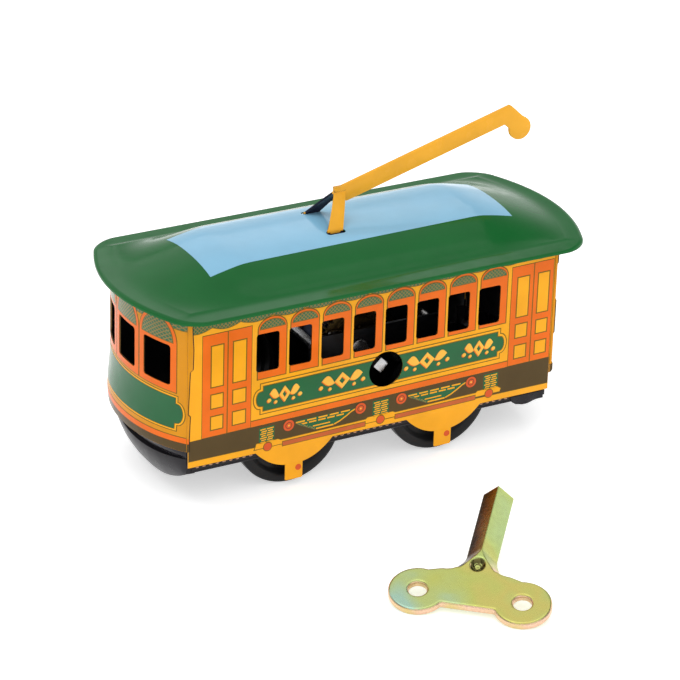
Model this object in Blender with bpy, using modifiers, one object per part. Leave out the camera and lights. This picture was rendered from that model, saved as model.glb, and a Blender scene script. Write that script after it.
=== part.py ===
"""Wind-up tin trolley car with a clockwork motor and a loose winding key.

Metres, +Z up. The floor is z = 0 and the origin is the middle of the floor area that the trolley and its
key take up together. The trolley's long axis is X, its near side faces -Y and its key lies in front of it.
"""

import math

import bmesh
import bpy
from mathutils import Matrix, Vector

MM = 0.001

# Where the trolley and the key stand in the shared frame.
TOY_Y = 32.1 * MM
KEY_PLACE = (-11.4 * MM, -41.7 * MM)
KEY_YAW = math.radians(-41.3)

# Tinplate and the body shell.
SHEET = 0.3 * MM
GAP = 0.3 * MM
BODY_X = -1.0 * MM
BODY_HALF_LENGTH = 41.0 * MM
BODY_HALF_WIDTH = 17.2 * MM
END_BOW = 4.8 * MM
SIDE_BOTTOM = 8.9 * MM
END_BOTTOM = 12.5 * MM
BODY_TOP = 41.15 * MM
DASH_BULGE = 1.0 * MM
DASH_BULGE_Z = 15.0 * MM
DASH_BULGE_SPREAD = 5.0 * MM

# Windows, the winding hole and the pedestals that hang from each side.
WINDOW_COUNT = 8
WINDOW_PITCH = 7.08 * MM
WINDOW_SIZE = (4.9 * MM, 8.15 * MM)
WINDOW_Z = 30.58 * MM
WINDOW_CORNER = 0.6 * MM
END_WINDOW_SIZE = (7.1 * MM, 8.4 * MM)
END_WINDOW_PITCH = 10.1 * MM
END_WINDOW_Z = 30.0 * MM
WINDING_HOLE_RADIUS = 3.8 * MM
PEDESTAL_HALF_WIDTH = 8.5 * MM
PEDESTAL_DEPTH = 4.1 * MM
PEDESTAL_CURVE = 2.3
LEG_HALF_WIDTH = 1.95 * MM
LEG_BOTTOM = 1.4 * MM

# Roof.
ROOF_CORNER_X = 43.5 * MM
ROOF_BOW = 6.4 * MM
ROOF_HALF_WIDTH = 21.75 * MM
ROOF_CORNER = 4.0 * MM
FLANGE = 4.3 * MM
EAVE_Z = 41.05 * MM
FLANGE_Z = 41.75 * MM
CREASE_Z = 41.95 * MM
DOME_RISE = 5.5 * MM
DOME_CURVE = 2.69
DOME_END = 18.6 * MM
DOME_END_CURVE = 1.28
ROOF_COLUMNS = 20
ROOF_ROWS = 14

# Trolley pole: a folded strip whose two legs pass through slots in the roof.
POLE_THICKNESS = 0.8 * MM
POLE_SHEET = 0.4 * MM
POLE_FOOT_X = -4.05 * MM
POLE_FOOT_Y = 5.1 * MM
POLE_FOOT_Z = 47.4 * MM
POLE_FOOT_END_Z = 45.4 * MM
POLE_FOOT_WIDTH = 3.5 * MM
POLE_SLOT = 1.2 * MM
POLE_ROOT_X = -1.9 * MM
POLE_DEPTH = 3.65 * MM
POLE_APEX_Z = 53.4 * MM
POLE_TIP = (37.8 * MM, 65.0 * MM)
POLE_DISC = (40.5 * MM, 59.6 * MM)
POLE_DISC_RADIUS = 2.5 * MM

# Chassis and fenders.
DECK_Z = 9.3 * MM
DECK_SHEET = 0.35 * MM
SKIRT_Z = 7.4 * MM
DECK_END_BOW = 2.4 * MM
FENDER_TOP = 13.4 * MM
FENDER_CORNER_Z = 7.2 * MM
FENDER_LOW_Z = 2.0 * MM
FENDER_HALF_WIDTH = 16.3 * MM
FENDER_LOW_X = 40.6 * MM

# Running gear.
WHEEL_RADIUS = 11.35 * MM
WHEEL_WIDTH = 2.6 * MM
WHEEL_FACE_Y = 15.4 * MM
WHEEL_SEGMENTS = 24
AXLE_RADIUS = 0.8 * MM
BORE_RADIUS = 0.87 * MM
FRONT_AXLE_X = -18.5 * MM
REAR_AXLE_X = 15.25 * MM

# Clockwork. Gears share one module, and each shaft's place follows from its gears' pitch radii.
MODULE = 0.385 * MM
ADDENDUM = 0.3 * MM
DEDENDUM = 0.45 * MM
GREAT_TEETH = 40
SECOND_TEETH = 30
PINION_TEETH = 10
RATCHET_TEETH = 14
ARBOR = (1.55 * MM, 21.3 * MM)
ARBOR_RADIUS = 1.8 * MM
ARBOR_BORE = 1.87 * MM
ARBOR_SQUARE = 2.5 * MM
ARBOR_END_Y = -15.3 * MM
PLATE_Y = 5.3 * MM
PLATE_SHEET = 0.7 * MM
PLATE_BOTTOM = 9.6 * MM
PLATE_TOP = 25.1 * MM
PLATE_LOW_TOP = 22.2 * MM
PLATE_LEFT = -9.6 * MM
PLATE_RIGHT = 24.0 * MM
PLATE_STEP_X = 20.0 * MM
PILLARS = ((-7.9 * MM, 12.6 * MM), (-7.9 * MM, 22.9 * MM),
           (22.0 * MM, 20.2 * MM), (21.6 * MM, 12.6 * MM))
PILLAR_RADIUS = 0.9 * MM
TAB_X = (-6.5 * MM, 20.5 * MM)
TAB_WIDTH = 2.4 * MM
PINION_SLOT = 6.0 * MM
RATCHET_Y = -4.65 * MM
RATCHET_RADIUS = 4.0 * MM
GREAT_Y = -3.65 * MM
SECOND_Y = 4.2 * MM
SPRING_Y = (-2.7 * MM, 3.2 * MM)
SPRING_TURNS = 5
SPRING_RADII = (2.7 * MM, 6.9 * MM)
SPRING_SHEET = 0.35 * MM
SHAFT_END_Y = PLATE_Y + PLATE_SHEET + 0.6 * MM
PRESS_GAP = 0.12 * MM
RATCHET_SHEET = 0.6 * MM
STUD_RADIUS = 0.5 * MM
GREAT_SHEET = 0.8 * MM
SECOND_SHEET = 0.7 * MM
PINION_WIDTH = 1.1 * MM

# Key.
KEY_SHEET = 1.4 * MM
KEY_HOLE_SPACING = 19.7 * MM
KEY_LOBE = 5.55 * MM
KEY_HOLE = 1.9 * MM
KEY_REACH = 29.0 * MM
KEY_TUBE = 4.3 * MM
KEY_TUBE_BORE = 2.7 * MM
KEY_TUBE_START = 9.0 * MM
KEY_RIDGE = 0.3 * MM


# ---------------------------------------------------------------- scene helpers

def remove_all_objects():
    for obj in list(bpy.data.objects):
        bpy.data.objects.remove(obj, do_unlink=True)


def new_collection(name):
    collection = bpy.data.collections.new(name)
    bpy.context.scene.collection.children.link(collection)
    return collection


def new_material(name, colour, roughness, metallic):
    material = bpy.data.materials.new(name)
    material.use_nodes = True
    shader = material.node_tree.nodes["Principled BSDF"]
    shader.inputs["Base Color"].default_value = (*colour, 1.0)
    shader.inputs["Roughness"].default_value = roughness
    shader.inputs["Metallic"].default_value = metallic
    return material


def new_empty(name, location):
    empty = bpy.data.objects.new(name, None)
    empty.location = location
    parts.objects.link(empty)
    return empty


def object_from_bmesh(name, bm, collection):
    mesh = bpy.data.meshes.new(name)
    bmesh.ops.recalc_face_normals(bm, faces=bm.faces)
    bm.to_mesh(mesh)
    bm.free()
    obj = bpy.data.objects.new(name, mesh)
    collection.objects.link(obj)
    return obj


def mesh_from_curve(curve_object):
    """The evaluated curve as a mesh object with welded caps, in the curve's place."""
    bpy.context.view_layer.update()
    evaluated = curve_object.evaluated_get(bpy.context.evaluated_depsgraph_get())
    mesh = bpy.data.meshes.new_from_object(evaluated)
    bm = bmesh.new()
    bm.from_mesh(mesh)
    bmesh.ops.remove_doubles(bm, verts=bm.verts, dist=1e-6)
    bm.to_mesh(mesh)
    bm.free()
    name = curve_object.name
    place = curve_object.matrix_world.copy()
    collection = curve_object.users_collection[0]
    bpy.data.objects.remove(curve_object, do_unlink=True)
    obj = bpy.data.objects.new(name, mesh)
    obj.matrix_world = place
    collection.objects.link(obj)
    return obj


def flat_piece(name, loops, thickness, collection=None):
    """A flat plate in its own XY plane, centred on z = 0. The loops after the first are its holes."""
    curve = bpy.data.curves.new(name, "CURVE")
    curve.dimensions = "2D"
    curve.fill_mode = "BOTH" if thickness else "FRONT"
    curve.extrude = thickness / 2
    for loop in loops:
        spline = curve.splines.new("POLY")
        spline.points.add(len(loop) - 1)
        for point, (x, y) in zip(spline.points, loop):
            point.co = (x, y, 0, 1)
        spline.use_cyclic_u = True
    obj = bpy.data.objects.new(name, curve)
    (collection or parts).objects.link(obj)
    return mesh_from_curve(obj)


def standing_piece(name, loops, y, thickness, at=(0, 0), collection=None):
    """A flat piece whose outline is given in X and Z, stood up across Y about the point at."""
    obj = flat_piece(name, loops, thickness, collection)
    obj.rotation_euler = (math.pi / 2, 0, 0)
    obj.location = (at[0], y, at[1])
    return obj


def box(name, low, high, collection=None):
    bm = bmesh.new()
    size = [b - a for a, b in zip(low, high)]
    middle = [(a + b) / 2 for a, b in zip(low, high)]
    bmesh.ops.create_cube(bm, size=1, matrix=Matrix.Translation(middle) @ Matrix.Diagonal((*size, 1)))
    return object_from_bmesh(name, bm, collection or parts)


def rod(name, radius, low_y, high_y, segments=16, at=(0, 0), collection=None):
    """A cylinder along Y, with its origin on its axis at the point at in X and Z."""
    bm = bmesh.new()
    turn = Matrix.Rotation(math.pi / 2, 4, "X")
    place = Matrix.Translation((0, (low_y + high_y) / 2, 0)) @ turn
    bmesh.ops.create_cone(bm, cap_ends=True, segments=segments, radius1=radius, radius2=radius,
                          depth=high_y - low_y, matrix=place)
    obj = object_from_bmesh(name, bm, collection or parts)
    obj.location = (at[0], 0, at[1])
    return obj


def boolean(target, other, operation):
    modifier = target.modifiers.new(operation.title(), "BOOLEAN")
    modifier.operation = operation
    modifier.solver = "EXACT"
    modifier.object = other
    other.hide_render = True
    other.display_type = "WIRE"


def sheet_thickness(obj, thickness, offset=-1):
    modifier = obj.modifiers.new("Sheet", "SOLIDIFY")
    modifier.thickness = thickness
    modifier.offset = offset
    modifier.use_even_offset = True


def dress(obj, material, parent, smooth=True):
    obj.data.materials.clear()
    obj.data.materials.append(material)
    obj.parent = parent
    if smooth:
        obj.data.shade_smooth()
        obj.data.set_sharp_from_angle(angle=math.radians(35))


# ---------------------------------------------------------------- outlines

def circle(radius, segments, centre=(0, 0), start=0.0):
    step = 2 * math.pi / segments
    angles = [start + i * step for i in range(segments)]
    return [(centre[0] + radius * math.cos(angle), centre[1] + radius * math.sin(angle)) for angle in angles]


def arc(centre, radius, first, last, steps):
    """Points on an arc from the first angle to the last, in radians."""
    return [(centre[0] + radius * math.cos(first + (last - first) * i / steps),
             centre[1] + radius * math.sin(first + (last - first) * i / steps)) for i in range(steps + 1)]


def rounded_rectangle(centre, size, radius, steps=2):
    points = []
    for quarter, (sx, sy) in enumerate(((1, 1), (-1, 1), (-1, -1), (1, -1))):
        middle = (centre[0] + sx * (size[0] / 2 - radius), centre[1] + sy * (size[1] / 2 - radius))
        points += arc(middle, radius, quarter * math.pi / 2, (quarter + 1) * math.pi / 2, steps)
    return points


def gear(teeth, phase):
    """A gear's outline with one tooth centred on the angle phase."""
    pitch_radius = MODULE * teeth / 2
    tooth = 2 * math.pi / teeth
    points = []
    for i in range(teeth):
        for depth, share in ((-DEDENDUM, -0.29), (ADDENDUM, -0.12), (ADDENDUM, 0.12), (-DEDENDUM, 0.29)):
            angle = phase + (i + share) * tooth
            radius = pitch_radius + depth
            points.append((radius * math.cos(angle), radius * math.sin(angle)))
    return points


def ratchet():
    """Saw teeth that let the click slip one way only."""
    tooth = 2 * math.pi / RATCHET_TEETH
    points = []
    for i in range(RATCHET_TEETH):
        for radius, share in ((RATCHET_RADIUS, 0.0), (0.78 * RATCHET_RADIUS, 0.12)):
            angle = (i + share) * tooth
            points.append((radius * math.cos(angle), radius * math.sin(angle)))
    return points


# ---------------------------------------------------------------- body shell

def end_plan(share, bow=END_BOW, half=BODY_HALF_WIDTH):
    """How far a bowed end stands out, at a share of the half width, on an arc through both corners."""
    radius = (half ** 2 + bow ** 2) / (2 * bow)
    y = share * half
    return math.sqrt(radius ** 2 - y ** 2) - (radius - bow)


def pedestal(centre_x):
    """The lower edge of one truck pedestal, left to right: a bowl with a leg under it."""
    steps = 7
    run = PEDESTAL_HALF_WIDTH - LEG_HALF_WIDTH
    left = []
    for i in range(steps + 1):
        offset = -PEDESTAL_HALF_WIDTH + run * i / steps
        depth = PEDESTAL_DEPTH * (1 - abs(offset / PEDESTAL_HALF_WIDTH) ** PEDESTAL_CURVE)
        left.append((offset, SIDE_BOTTOM - depth))
    corner = 0.35 * MM
    left.append((-LEG_HALF_WIDTH, LEG_BOTTOM + corner))
    left.append((-LEG_HALF_WIDTH + corner, LEG_BOTTOM))
    right = [(-x, z) for x, z in reversed(left)]
    return [(centre_x + x, z) for x, z in left + right]


def side_outline():
    left = BODY_X - BODY_HALF_LENGTH + SHEET
    right = BODY_X + BODY_HALF_LENGTH - SHEET
    points = [(left, BODY_TOP), (left, SIDE_BOTTOM)]
    for axle_x in (FRONT_AXLE_X, REAR_AXLE_X):
        points += pedestal(axle_x)
    return points + [(right, SIDE_BOTTOM), (right, BODY_TOP)]


def side_windows():
    first = -(WINDOW_COUNT - 1) / 2
    return [rounded_rectangle(((first + i) * WINDOW_PITCH, WINDOW_Z), WINDOW_SIZE, WINDOW_CORNER)
            for i in range(WINDOW_COUNT)]


def make_side_panels():
    hole = circle(WINDING_HOLE_RADIUS, 28, ARBOR)
    middle = BODY_HALF_WIDTH - SHEET / 2
    near = standing_piece("side_panel_near", [side_outline(), *side_windows(), hole], -middle, SHEET)
    far = standing_piece("side_panel_far", [side_outline(), *side_windows()], middle, SHEET)
    dress(near, litho_yellow, toy)
    dress(far, litho_yellow, toy)


def dash_bulge(share, z):
    """How far the dash panel swells out, fading to nothing at the corners."""
    return DASH_BULGE * math.exp(-((z - DASH_BULGE_Z) / DASH_BULGE_SPREAD) ** 2) * (1 - share ** 4)


def make_end_panel(name, direction):
    """A bowed end: a flat outline with three windows, cut into strips and bent round the end's arc."""
    half = BODY_HALF_WIDTH
    outline = [(-half, END_BOTTOM), (half, END_BOTTOM), (half, BODY_TOP), (-half, BODY_TOP)]
    windows = [rounded_rectangle((i * END_WINDOW_PITCH, END_WINDOW_Z), END_WINDOW_SIZE, WINDOW_CORNER)
               for i in (-1, 0, 1)]
    obj = flat_piece(name, [outline, *windows], 0)
    bm = bmesh.new()
    bm.from_mesh(obj.data)
    cuts = [(Vector((half * i / 8, 0, 0)), Vector((1, 0, 0))) for i in range(-7, 8)]
    cuts += [(Vector((0, z * MM, 0)), Vector((0, 1, 0))) for z in (14.5, 16.5, 19.0, 22.5)]
    for point, normal in cuts:
        everything = bm.verts[:] + bm.edges[:] + bm.faces[:]
        bmesh.ops.bisect_plane(bm, geom=everything, plane_co=point, plane_no=normal, dist=1e-7)
    for vert in bm.verts:
        share, z = vert.co.x / half, vert.co.y
        out = BODY_HALF_LENGTH + end_plan(share) + dash_bulge(share, z)
        vert.co = Vector((BODY_X + direction * out, -direction * share * half, z))
    bmesh.ops.recalc_face_normals(bm, faces=bm.faces)
    inward = sum((face.normal.x * direction for face in bm.faces)) < 0
    if inward:
        bmesh.ops.reverse_faces(bm, faces=bm.faces)
    bm.to_mesh(obj.data)
    bm.free()
    sheet_thickness(obj, SHEET)
    dress(obj, litho_orange, toy)


# ---------------------------------------------------------------- roof

def bowed_edge(half_width, corner_x, bow, corner, y):
    """How far out the rounded, bowed plan reaches at y."""
    reach = corner_x + bow * (1 - (y / half_width) ** 2)
    into_corner = abs(y) - (half_width - corner)
    if into_corner > 0:
        reach -= corner - math.sqrt(max(corner ** 2 - into_corner ** 2, 0))
    return reach


def roof_point(s, t, inset):
    """A point of the roof's plan: s and t run from -1 to 1 along and across, inset in from the edge."""
    half = ROOF_HALF_WIDTH - inset
    y = half * t
    corner = max(ROOF_CORNER - 0.4 * inset, 1.2 * MM)
    return s * bowed_edge(half, ROOF_CORNER_X - inset, ROOF_BOW, corner, y), y


def dome_height(x, y):
    half = ROOF_HALF_WIDTH - FLANGE
    across = 1 - abs(y / half) ** DOME_CURVE
    end = ROOF_CORNER_X - FLANGE + ROOF_BOW * (1 - (y / ROOF_HALF_WIDTH) ** 2)
    along = min(max((end - abs(x)) / DOME_END, 0), 1)
    return CREASE_Z + DOME_RISE * max(across, 0) * (1 - (1 - along) ** DOME_END_CURVE)


def spaced(count, power):
    """count + 1 values from -1 to 1, closer together near the ends."""
    values = []
    for i in range(count + 1):
        linear = -1 + 2 * i / count
        values.append(math.copysign(1 - (1 - abs(linear)) ** power, linear))
    return values


def make_roof():
    """A stamped dome on a flat flange with a turned-down lip, and two slots for the pole's feet."""
    bm = bmesh.new()
    along, across = spaced(ROOF_COLUMNS, 1.3), spaced(ROOF_ROWS, 1.9)
    grid = []
    for t in across:
        row = [roof_point(s, t, FLANGE) for s in along]
        grid.append([bm.verts.new((x, y, dome_height(x, y))) for x, y in row])
    for low, high in zip(grid, grid[1:]):
        for a, b, c, d in zip(low, low[1:], high[1:], high):
            bm.faces.new((a, b, c, d))
    rim = [(s, -1) for s in along] + [(1, t) for t in across[1:]]
    rim += [(s, 1) for s in reversed(along[:-1])] + [(-1, t) for t in reversed(across[1:-1])]
    ring = grid[0] + [row[-1] for row in grid[1:]] + grid[-1][-2::-1] + [row[0] for row in grid[-2:0:-1]]
    for inset, z in ((0.3 * MM, FLANGE_Z), (0, FLANGE_Z - 0.15 * MM), (0, EAVE_Z)):
        outer = [bm.verts.new((*roof_point(s, t, inset), z)) for s, t in rim]
        for i in range(len(ring)):
            j = (i + 1) % len(ring)
            bm.faces.new((ring[i], outer[i], outer[j], ring[j]))
        ring = outer
    roof = object_from_bmesh("roof", bm, parts)
    if max(roof.data.polygons, key=lambda p: p.center.z).normal.z < 0:
        roof.data.flip_normals()
    sheet_thickness(roof, SHEET)
    half_slot = POLE_FOOT_WIDTH / 2 + GAP
    for side in (-1, 1):
        low = (POLE_FOOT_X - half_slot, side * POLE_FOOT_Y - POLE_SLOT / 2, EAVE_Z)
        high = (POLE_FOOT_X + half_slot, side * POLE_FOOT_Y + POLE_SLOT / 2, EAVE_Z + 2 * DOME_RISE)
        slot = box(f"roof_slot_cutter_{side + 1}", low, high, cutters)
        slot.parent = toy
        boolean(roof, slot, "DIFFERENCE")
    dress(roof, roof_green, toy)


# ---------------------------------------------------------------- trolley pole

def pole_arm_outline():
    """The arm, its hooked end and its round head, in X and Z."""
    tip_x, tip_z = POLE_TIP
    disc_x, disc_z = POLE_DISC
    root_z = POLE_APEX_Z + 0.35 * MM
    slope = (tip_z - root_z) / (tip_x - POLE_ROOT_X)
    first_x, last_x = POLE_ROOT_X + 2.8 * MM, tip_x - 1.1 * MM
    points = [(POLE_ROOT_X, root_z), (POLE_ROOT_X + 0.4 * MM, root_z - 1.55 * MM)]
    points += [(x, root_z + slope * (x - POLE_ROOT_X) - POLE_DEPTH) for x in (first_x, last_x)]
    points += arc((disc_x, disc_z), POLE_DISC_RADIUS, math.radians(175), math.radians(455), 14)
    return points + [(tip_x, tip_z)]


def make_trolley_pole():
    pole = standing_piece("trolley_pole", [pole_arm_outline()], 0, POLE_THICKNESS)
    foot_left = POLE_FOOT_X - POLE_FOOT_WIDTH / 2
    foot_right = POLE_FOOT_X + POLE_FOOT_WIDTH / 2
    fall = POLE_APEX_Z - POLE_FOOT_Z
    length = math.hypot(fall, POLE_FOOT_Y)
    outline = [(POLE_ROOT_X, 0), (foot_left, -length), (foot_right, -length), (1.6 * MM, -0.32 * length),
               (1.9 * MM, 1.0 * MM)]
    for side in (-1, 1):
        leg = flat_piece(f"pole_leg_{side + 1}", [outline], POLE_SHEET, cutters)
        leg.rotation_euler = (math.atan2(fall, -side * POLE_FOOT_Y), 0, 0)
        leg.location = (0, 0, POLE_APEX_Z)
        inset = 0.04 * MM
        low = (foot_left + inset, side * POLE_FOOT_Y - POLE_SHEET / 2, POLE_FOOT_END_Z)
        high = (foot_right - inset, side * POLE_FOOT_Y + POLE_SHEET / 2, POLE_FOOT_Z + 0.25 * MM)
        foot = box(f"pole_foot_{side + 1}", low, high, cutters)
        for piece in (leg, foot):
            piece.parent = toy
            boolean(pole, piece, "UNION")
    dress(pole, pole_orange, toy, smooth=False)


# ---------------------------------------------------------------- chassis

def make_chassis_base():
    """The deck, bowed at both ends, with a skirt along each side and slots for wheels and motor tabs."""
    half = BODY_HALF_WIDTH - SHEET - GAP
    corner_x = BODY_HALF_LENGTH - 1.4 * MM
    steps = 8
    bm = bmesh.new()
    deck = []
    for direction in (1, -1):
        for i in range(steps + 1):
            share = direction * (-1 + 2 * i / steps)
            x = BODY_X + direction * (corner_x + DECK_END_BOW * (1 - share ** 2))
            deck.append(bm.verts.new((x, half * share, DECK_Z)))
    bm.faces.new(deck)
    for a, b in ((deck[steps], deck[steps + 1]), (deck[-1], deck[0])):
        low_a = bm.verts.new((a.co.x, a.co.y, SKIRT_Z))
        low_b = bm.verts.new((b.co.x, b.co.y, SKIRT_Z))
        bm.faces.new((b, a, low_a, low_b))
    base = object_from_bmesh("chassis_base", bm, parts)
    if max(base.data.polygons, key=lambda p: p.area).normal.z < 0:
        base.data.flip_normals()
    sheet_thickness(base, DECK_SHEET)
    slots = []
    for axle_x in (FRONT_AXLE_X, REAR_AXLE_X):
        for side in (-1, 1):
            inner, outer = WHEEL_FACE_Y - WHEEL_WIDTH - 0.7 * MM, WHEEL_FACE_Y + 0.4 * MM
            slots.append((axle_x, side * (inner + outer) / 2, WHEEL_RADIUS + 0.5 * MM, (outer - inner) / 2))
    for tab_x in TAB_X:
        for side in (-1, 1):
            plate_y = side * (PLATE_Y + PLATE_SHEET / 2)
            slots.append((tab_x, plate_y, TAB_WIDTH / 2 + GAP, PLATE_SHEET / 2 + GAP))
    slots.append((REAR_AXLE_X, SECOND_Y, PINION_SLOT / 2, 0.75 * MM))
    for number, (x, y, half_x, half_y) in enumerate(slots):
        low, high = (x - half_x, y - half_y, DECK_Z - 2 * MM), (x + half_x, y + half_y, DECK_Z + 2 * MM)
        slot = box(f"deck_slot_cutter_{number}", low, high, cutters)
        slot.parent = toy
        boolean(base, slot, "DIFFERENCE")
    dress(base, chassis_black, toy, smooth=False)


def make_fender(name, direction):
    """The apron that sweeps down and in under one bowed end."""
    columns, rows = 12, 5
    bm = bmesh.new()
    grid = []
    for row in range(rows + 1):
        line = []
        for column in range(columns + 1):
            share = -1 + 2 * column / columns
            crown = 1 - share ** 2
            y = share * FENDER_HALF_WIDTH
            top_x = BODY_HALF_LENGTH - SHEET - 2 * GAP + end_plan(y / BODY_HALF_WIDTH)
            low_z = FENDER_CORNER_Z - (FENDER_CORNER_Z - FENDER_LOW_Z) * crown
            bend_z = END_BOTTOM - 0.6 * MM
            if row == 0:
                x, z = top_x, FENDER_TOP
            else:
                down = (row - 1) / (rows - 1)
                x = top_x + (FENDER_LOW_X - top_x) * down ** 1.15
                z = bend_z + (low_z - bend_z) * down
            line.append(bm.verts.new((BODY_X + direction * x, y, z)))
        grid.append(line)
    for upper, lower in zip(grid, grid[1:]):
        for a, b, c, d in zip(upper, upper[1:], lower[1:], lower):
            bm.faces.new((a, b, c, d))
    fender = object_from_bmesh(name, bm, parts)
    if sum(p.normal.x * direction for p in fender.data.polygons) < 0:
        fender.data.flip_normals()
    sheet_thickness(fender, DECK_SHEET)
    dress(fender, chassis_black, toy)


def make_axle_bracket():
    """A bent strip on the deck whose two ears carry the front axle."""
    ear_y, ear_sheet, foot_z, ear_top = 9.4 * MM, 0.5 * MM, DECK_Z + GAP, 13.2 * MM
    outer, inner = ear_y + ear_sheet, ear_y
    floor_z = foot_z + ear_sheet
    outline = [(-outer, foot_z), (outer, foot_z), (outer, ear_top), (inner, ear_top),
               (inner, floor_z), (-inner, floor_z), (-inner, ear_top), (-outer, ear_top)]
    bracket = flat_piece("front_axle_bracket", [outline], 4.4 * MM)
    bracket.rotation_euler = (math.pi / 2, 0, math.pi / 2)
    bracket.location = (FRONT_AXLE_X, 0, 0)
    at = (FRONT_AXLE_X, WHEEL_RADIUS)
    bore = rod("bracket_bore_cutter", BORE_RADIUS, -12 * MM, 12 * MM, 20, at, cutters)
    bore.parent = toy
    boolean(bracket, bore, "DIFFERENCE")
    dress(bracket, bright_steel, toy, smooth=False)


# ---------------------------------------------------------------- wheels and axles

def wheel_profile():
    """The section of a stamped wheel, as (radius, distance in from its outer face), closed."""
    flat_radius = WHEEL_RADIUS / math.cos(math.pi / WHEEL_SEGMENTS) / MM
    wide = WHEEL_WIDTH / MM
    outside = [(0.95, 0.9), (8.6, 0.9), (9.3, 0.15), (10.7, 0.0), (flat_radius, 0.4), (flat_radius, wide)]
    inside = [(flat_radius - 0.4, wide), (flat_radius - 0.4, 0.75), (10.5, 0.42), (9.5, 0.55), (8.8, 1.3),
              (0.95, 1.3)]
    return [(radius * MM, depth * MM) for radius, depth in outside + inside]


def make_wheel(name, side, parent):
    """A wheel turned by a Screw about Y, its flats set so that one rests on the floor."""
    mesh = bpy.data.meshes.new(name)
    profile = [(radius, 0, -depth) for radius, depth in wheel_profile()]
    edges = [(i, (i + 1) % len(profile)) for i in range(len(profile))]
    mesh.from_pydata(profile, edges, [])
    wheel = bpy.data.objects.new(name, mesh)
    parts.objects.link(wheel)
    screw = wheel.modifiers.new("Turn", "SCREW")
    screw.axis = "Z"
    screw.steps = screw.render_steps = WHEEL_SEGMENTS
    screw.use_merge_vertices = True
    screw.merge_threshold = 1e-5
    screw.use_normal_calculate = True
    wheel.rotation_euler = (side * -math.pi / 2, 0, 0)
    wheel.rotation_euler.rotate_axis("Z", math.pi / WHEEL_SEGMENTS)
    wheel.location = (0, side * WHEEL_FACE_Y, 0)
    mesh.materials.append(wheel_black)
    wheel.parent = parent


def make_running_gear():
    for name, axle_x in (("front", FRONT_AXLE_X), ("rear", REAR_AXLE_X)):
        axis = new_empty(f"{name}_axle_axis", (axle_x, 0, WHEEL_RADIUS))
        axis.parent = toy
        axle = rod(f"{name}_axle", AXLE_RADIUS, -WHEEL_FACE_Y + 0.3 * MM, WHEEL_FACE_Y - 0.3 * MM)
        dress(axle, bright_steel, axis)
        make_wheel(f"{name}_wheel_near", -1, axis)
        make_wheel(f"{name}_wheel_far", 1, axis)


# ---------------------------------------------------------------- clockwork

def second_shaft_place():
    """Where circles about the arbor and the rear axle meet, at the gears' centre distances."""
    from_arbor = MODULE * (GREAT_TEETH + PINION_TEETH) / 2
    from_axle = MODULE * (SECOND_TEETH + PINION_TEETH) / 2
    arbor, axle = Vector(ARBOR), Vector((REAR_AXLE_X, WHEEL_RADIUS))
    line = axle - arbor
    distance = line.length
    along = (from_arbor ** 2 - from_axle ** 2 + distance ** 2) / (2 * distance)
    aside = math.sqrt(from_arbor ** 2 - along ** 2)
    unit = line / distance
    place = arbor + unit * along + Vector((-unit.y, unit.x)) * aside
    return place.x, place.y


def direction_to(start, end):
    return math.atan2(end[1] - start[1], end[0] - start[0])


def make_motor_plates():
    cut = 2.0 * MM
    for side, name in ((-1, "motor_plate_near"), (1, "motor_plate_far")):
        outline = [(PLATE_LEFT, PLATE_TOP - cut), (PLATE_LEFT, PLATE_BOTTOM)]
        for tab_x in TAB_X:
            left, right, low = tab_x - TAB_WIDTH / 2, tab_x + TAB_WIDTH / 2, DECK_Z - 1.3 * MM
            outline += [(left, PLATE_BOTTOM), (left, low), (right, low), (right, PLATE_BOTTOM)]
        outline += [(PLATE_RIGHT, PLATE_BOTTOM), (PLATE_RIGHT, PLATE_LOW_TOP)]
        outline += [(PLATE_STEP_X, PLATE_LOW_TOP), (PLATE_STEP_X, PLATE_TOP), (PLATE_LEFT + cut, PLATE_TOP)]
        holes = [circle(ARBOR_BORE, 24, ARBOR), circle(BORE_RADIUS, 20, second_shaft),
                 circle(BORE_RADIUS, 20, (REAR_AXLE_X, WHEEL_RADIUS))]
        plate = standing_piece(name, [outline, *holes], side * (PLATE_Y + PLATE_SHEET / 2), PLATE_SHEET)
        dress(plate, plate_steel, toy, smooth=False)
    inner = PLATE_Y - 0.2 * MM
    for number, place in enumerate(PILLARS, 1):
        pillar = rod(f"motor_pillar_{number}", PILLAR_RADIUS, -inner, inner, 12, place)
        dress(pillar, bright_steel, toy)


def make_winding_arbor():
    """The arbor turns in both plates. Its square end takes the key."""
    axis = new_empty("winding_axis", (ARBOR[0], 0, ARBOR[1]))
    axis.parent = toy
    arbor = rod("winding_arbor", ARBOR_RADIUS, -SHAFT_END_Y, SHAFT_END_Y, 24)
    half = ARBOR_SQUARE / 2
    square = box("arbor_square", (-half, ARBOR_END_Y, -half), (half, -PLATE_Y, half), cutters)
    square.rotation_euler = (0, math.pi / 4, 0)
    square.parent = axis
    boolean(arbor, square, "UNION")
    dress(arbor, bright_steel, axis)
    eye = circle(ARBOR_RADIUS + PRESS_GAP, 24)
    wheel = standing_piece("ratchet_wheel", [ratchet(), eye], RATCHET_Y, RATCHET_SHEET)
    dress(wheel, bright_steel, axis, smooth=False)


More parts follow.
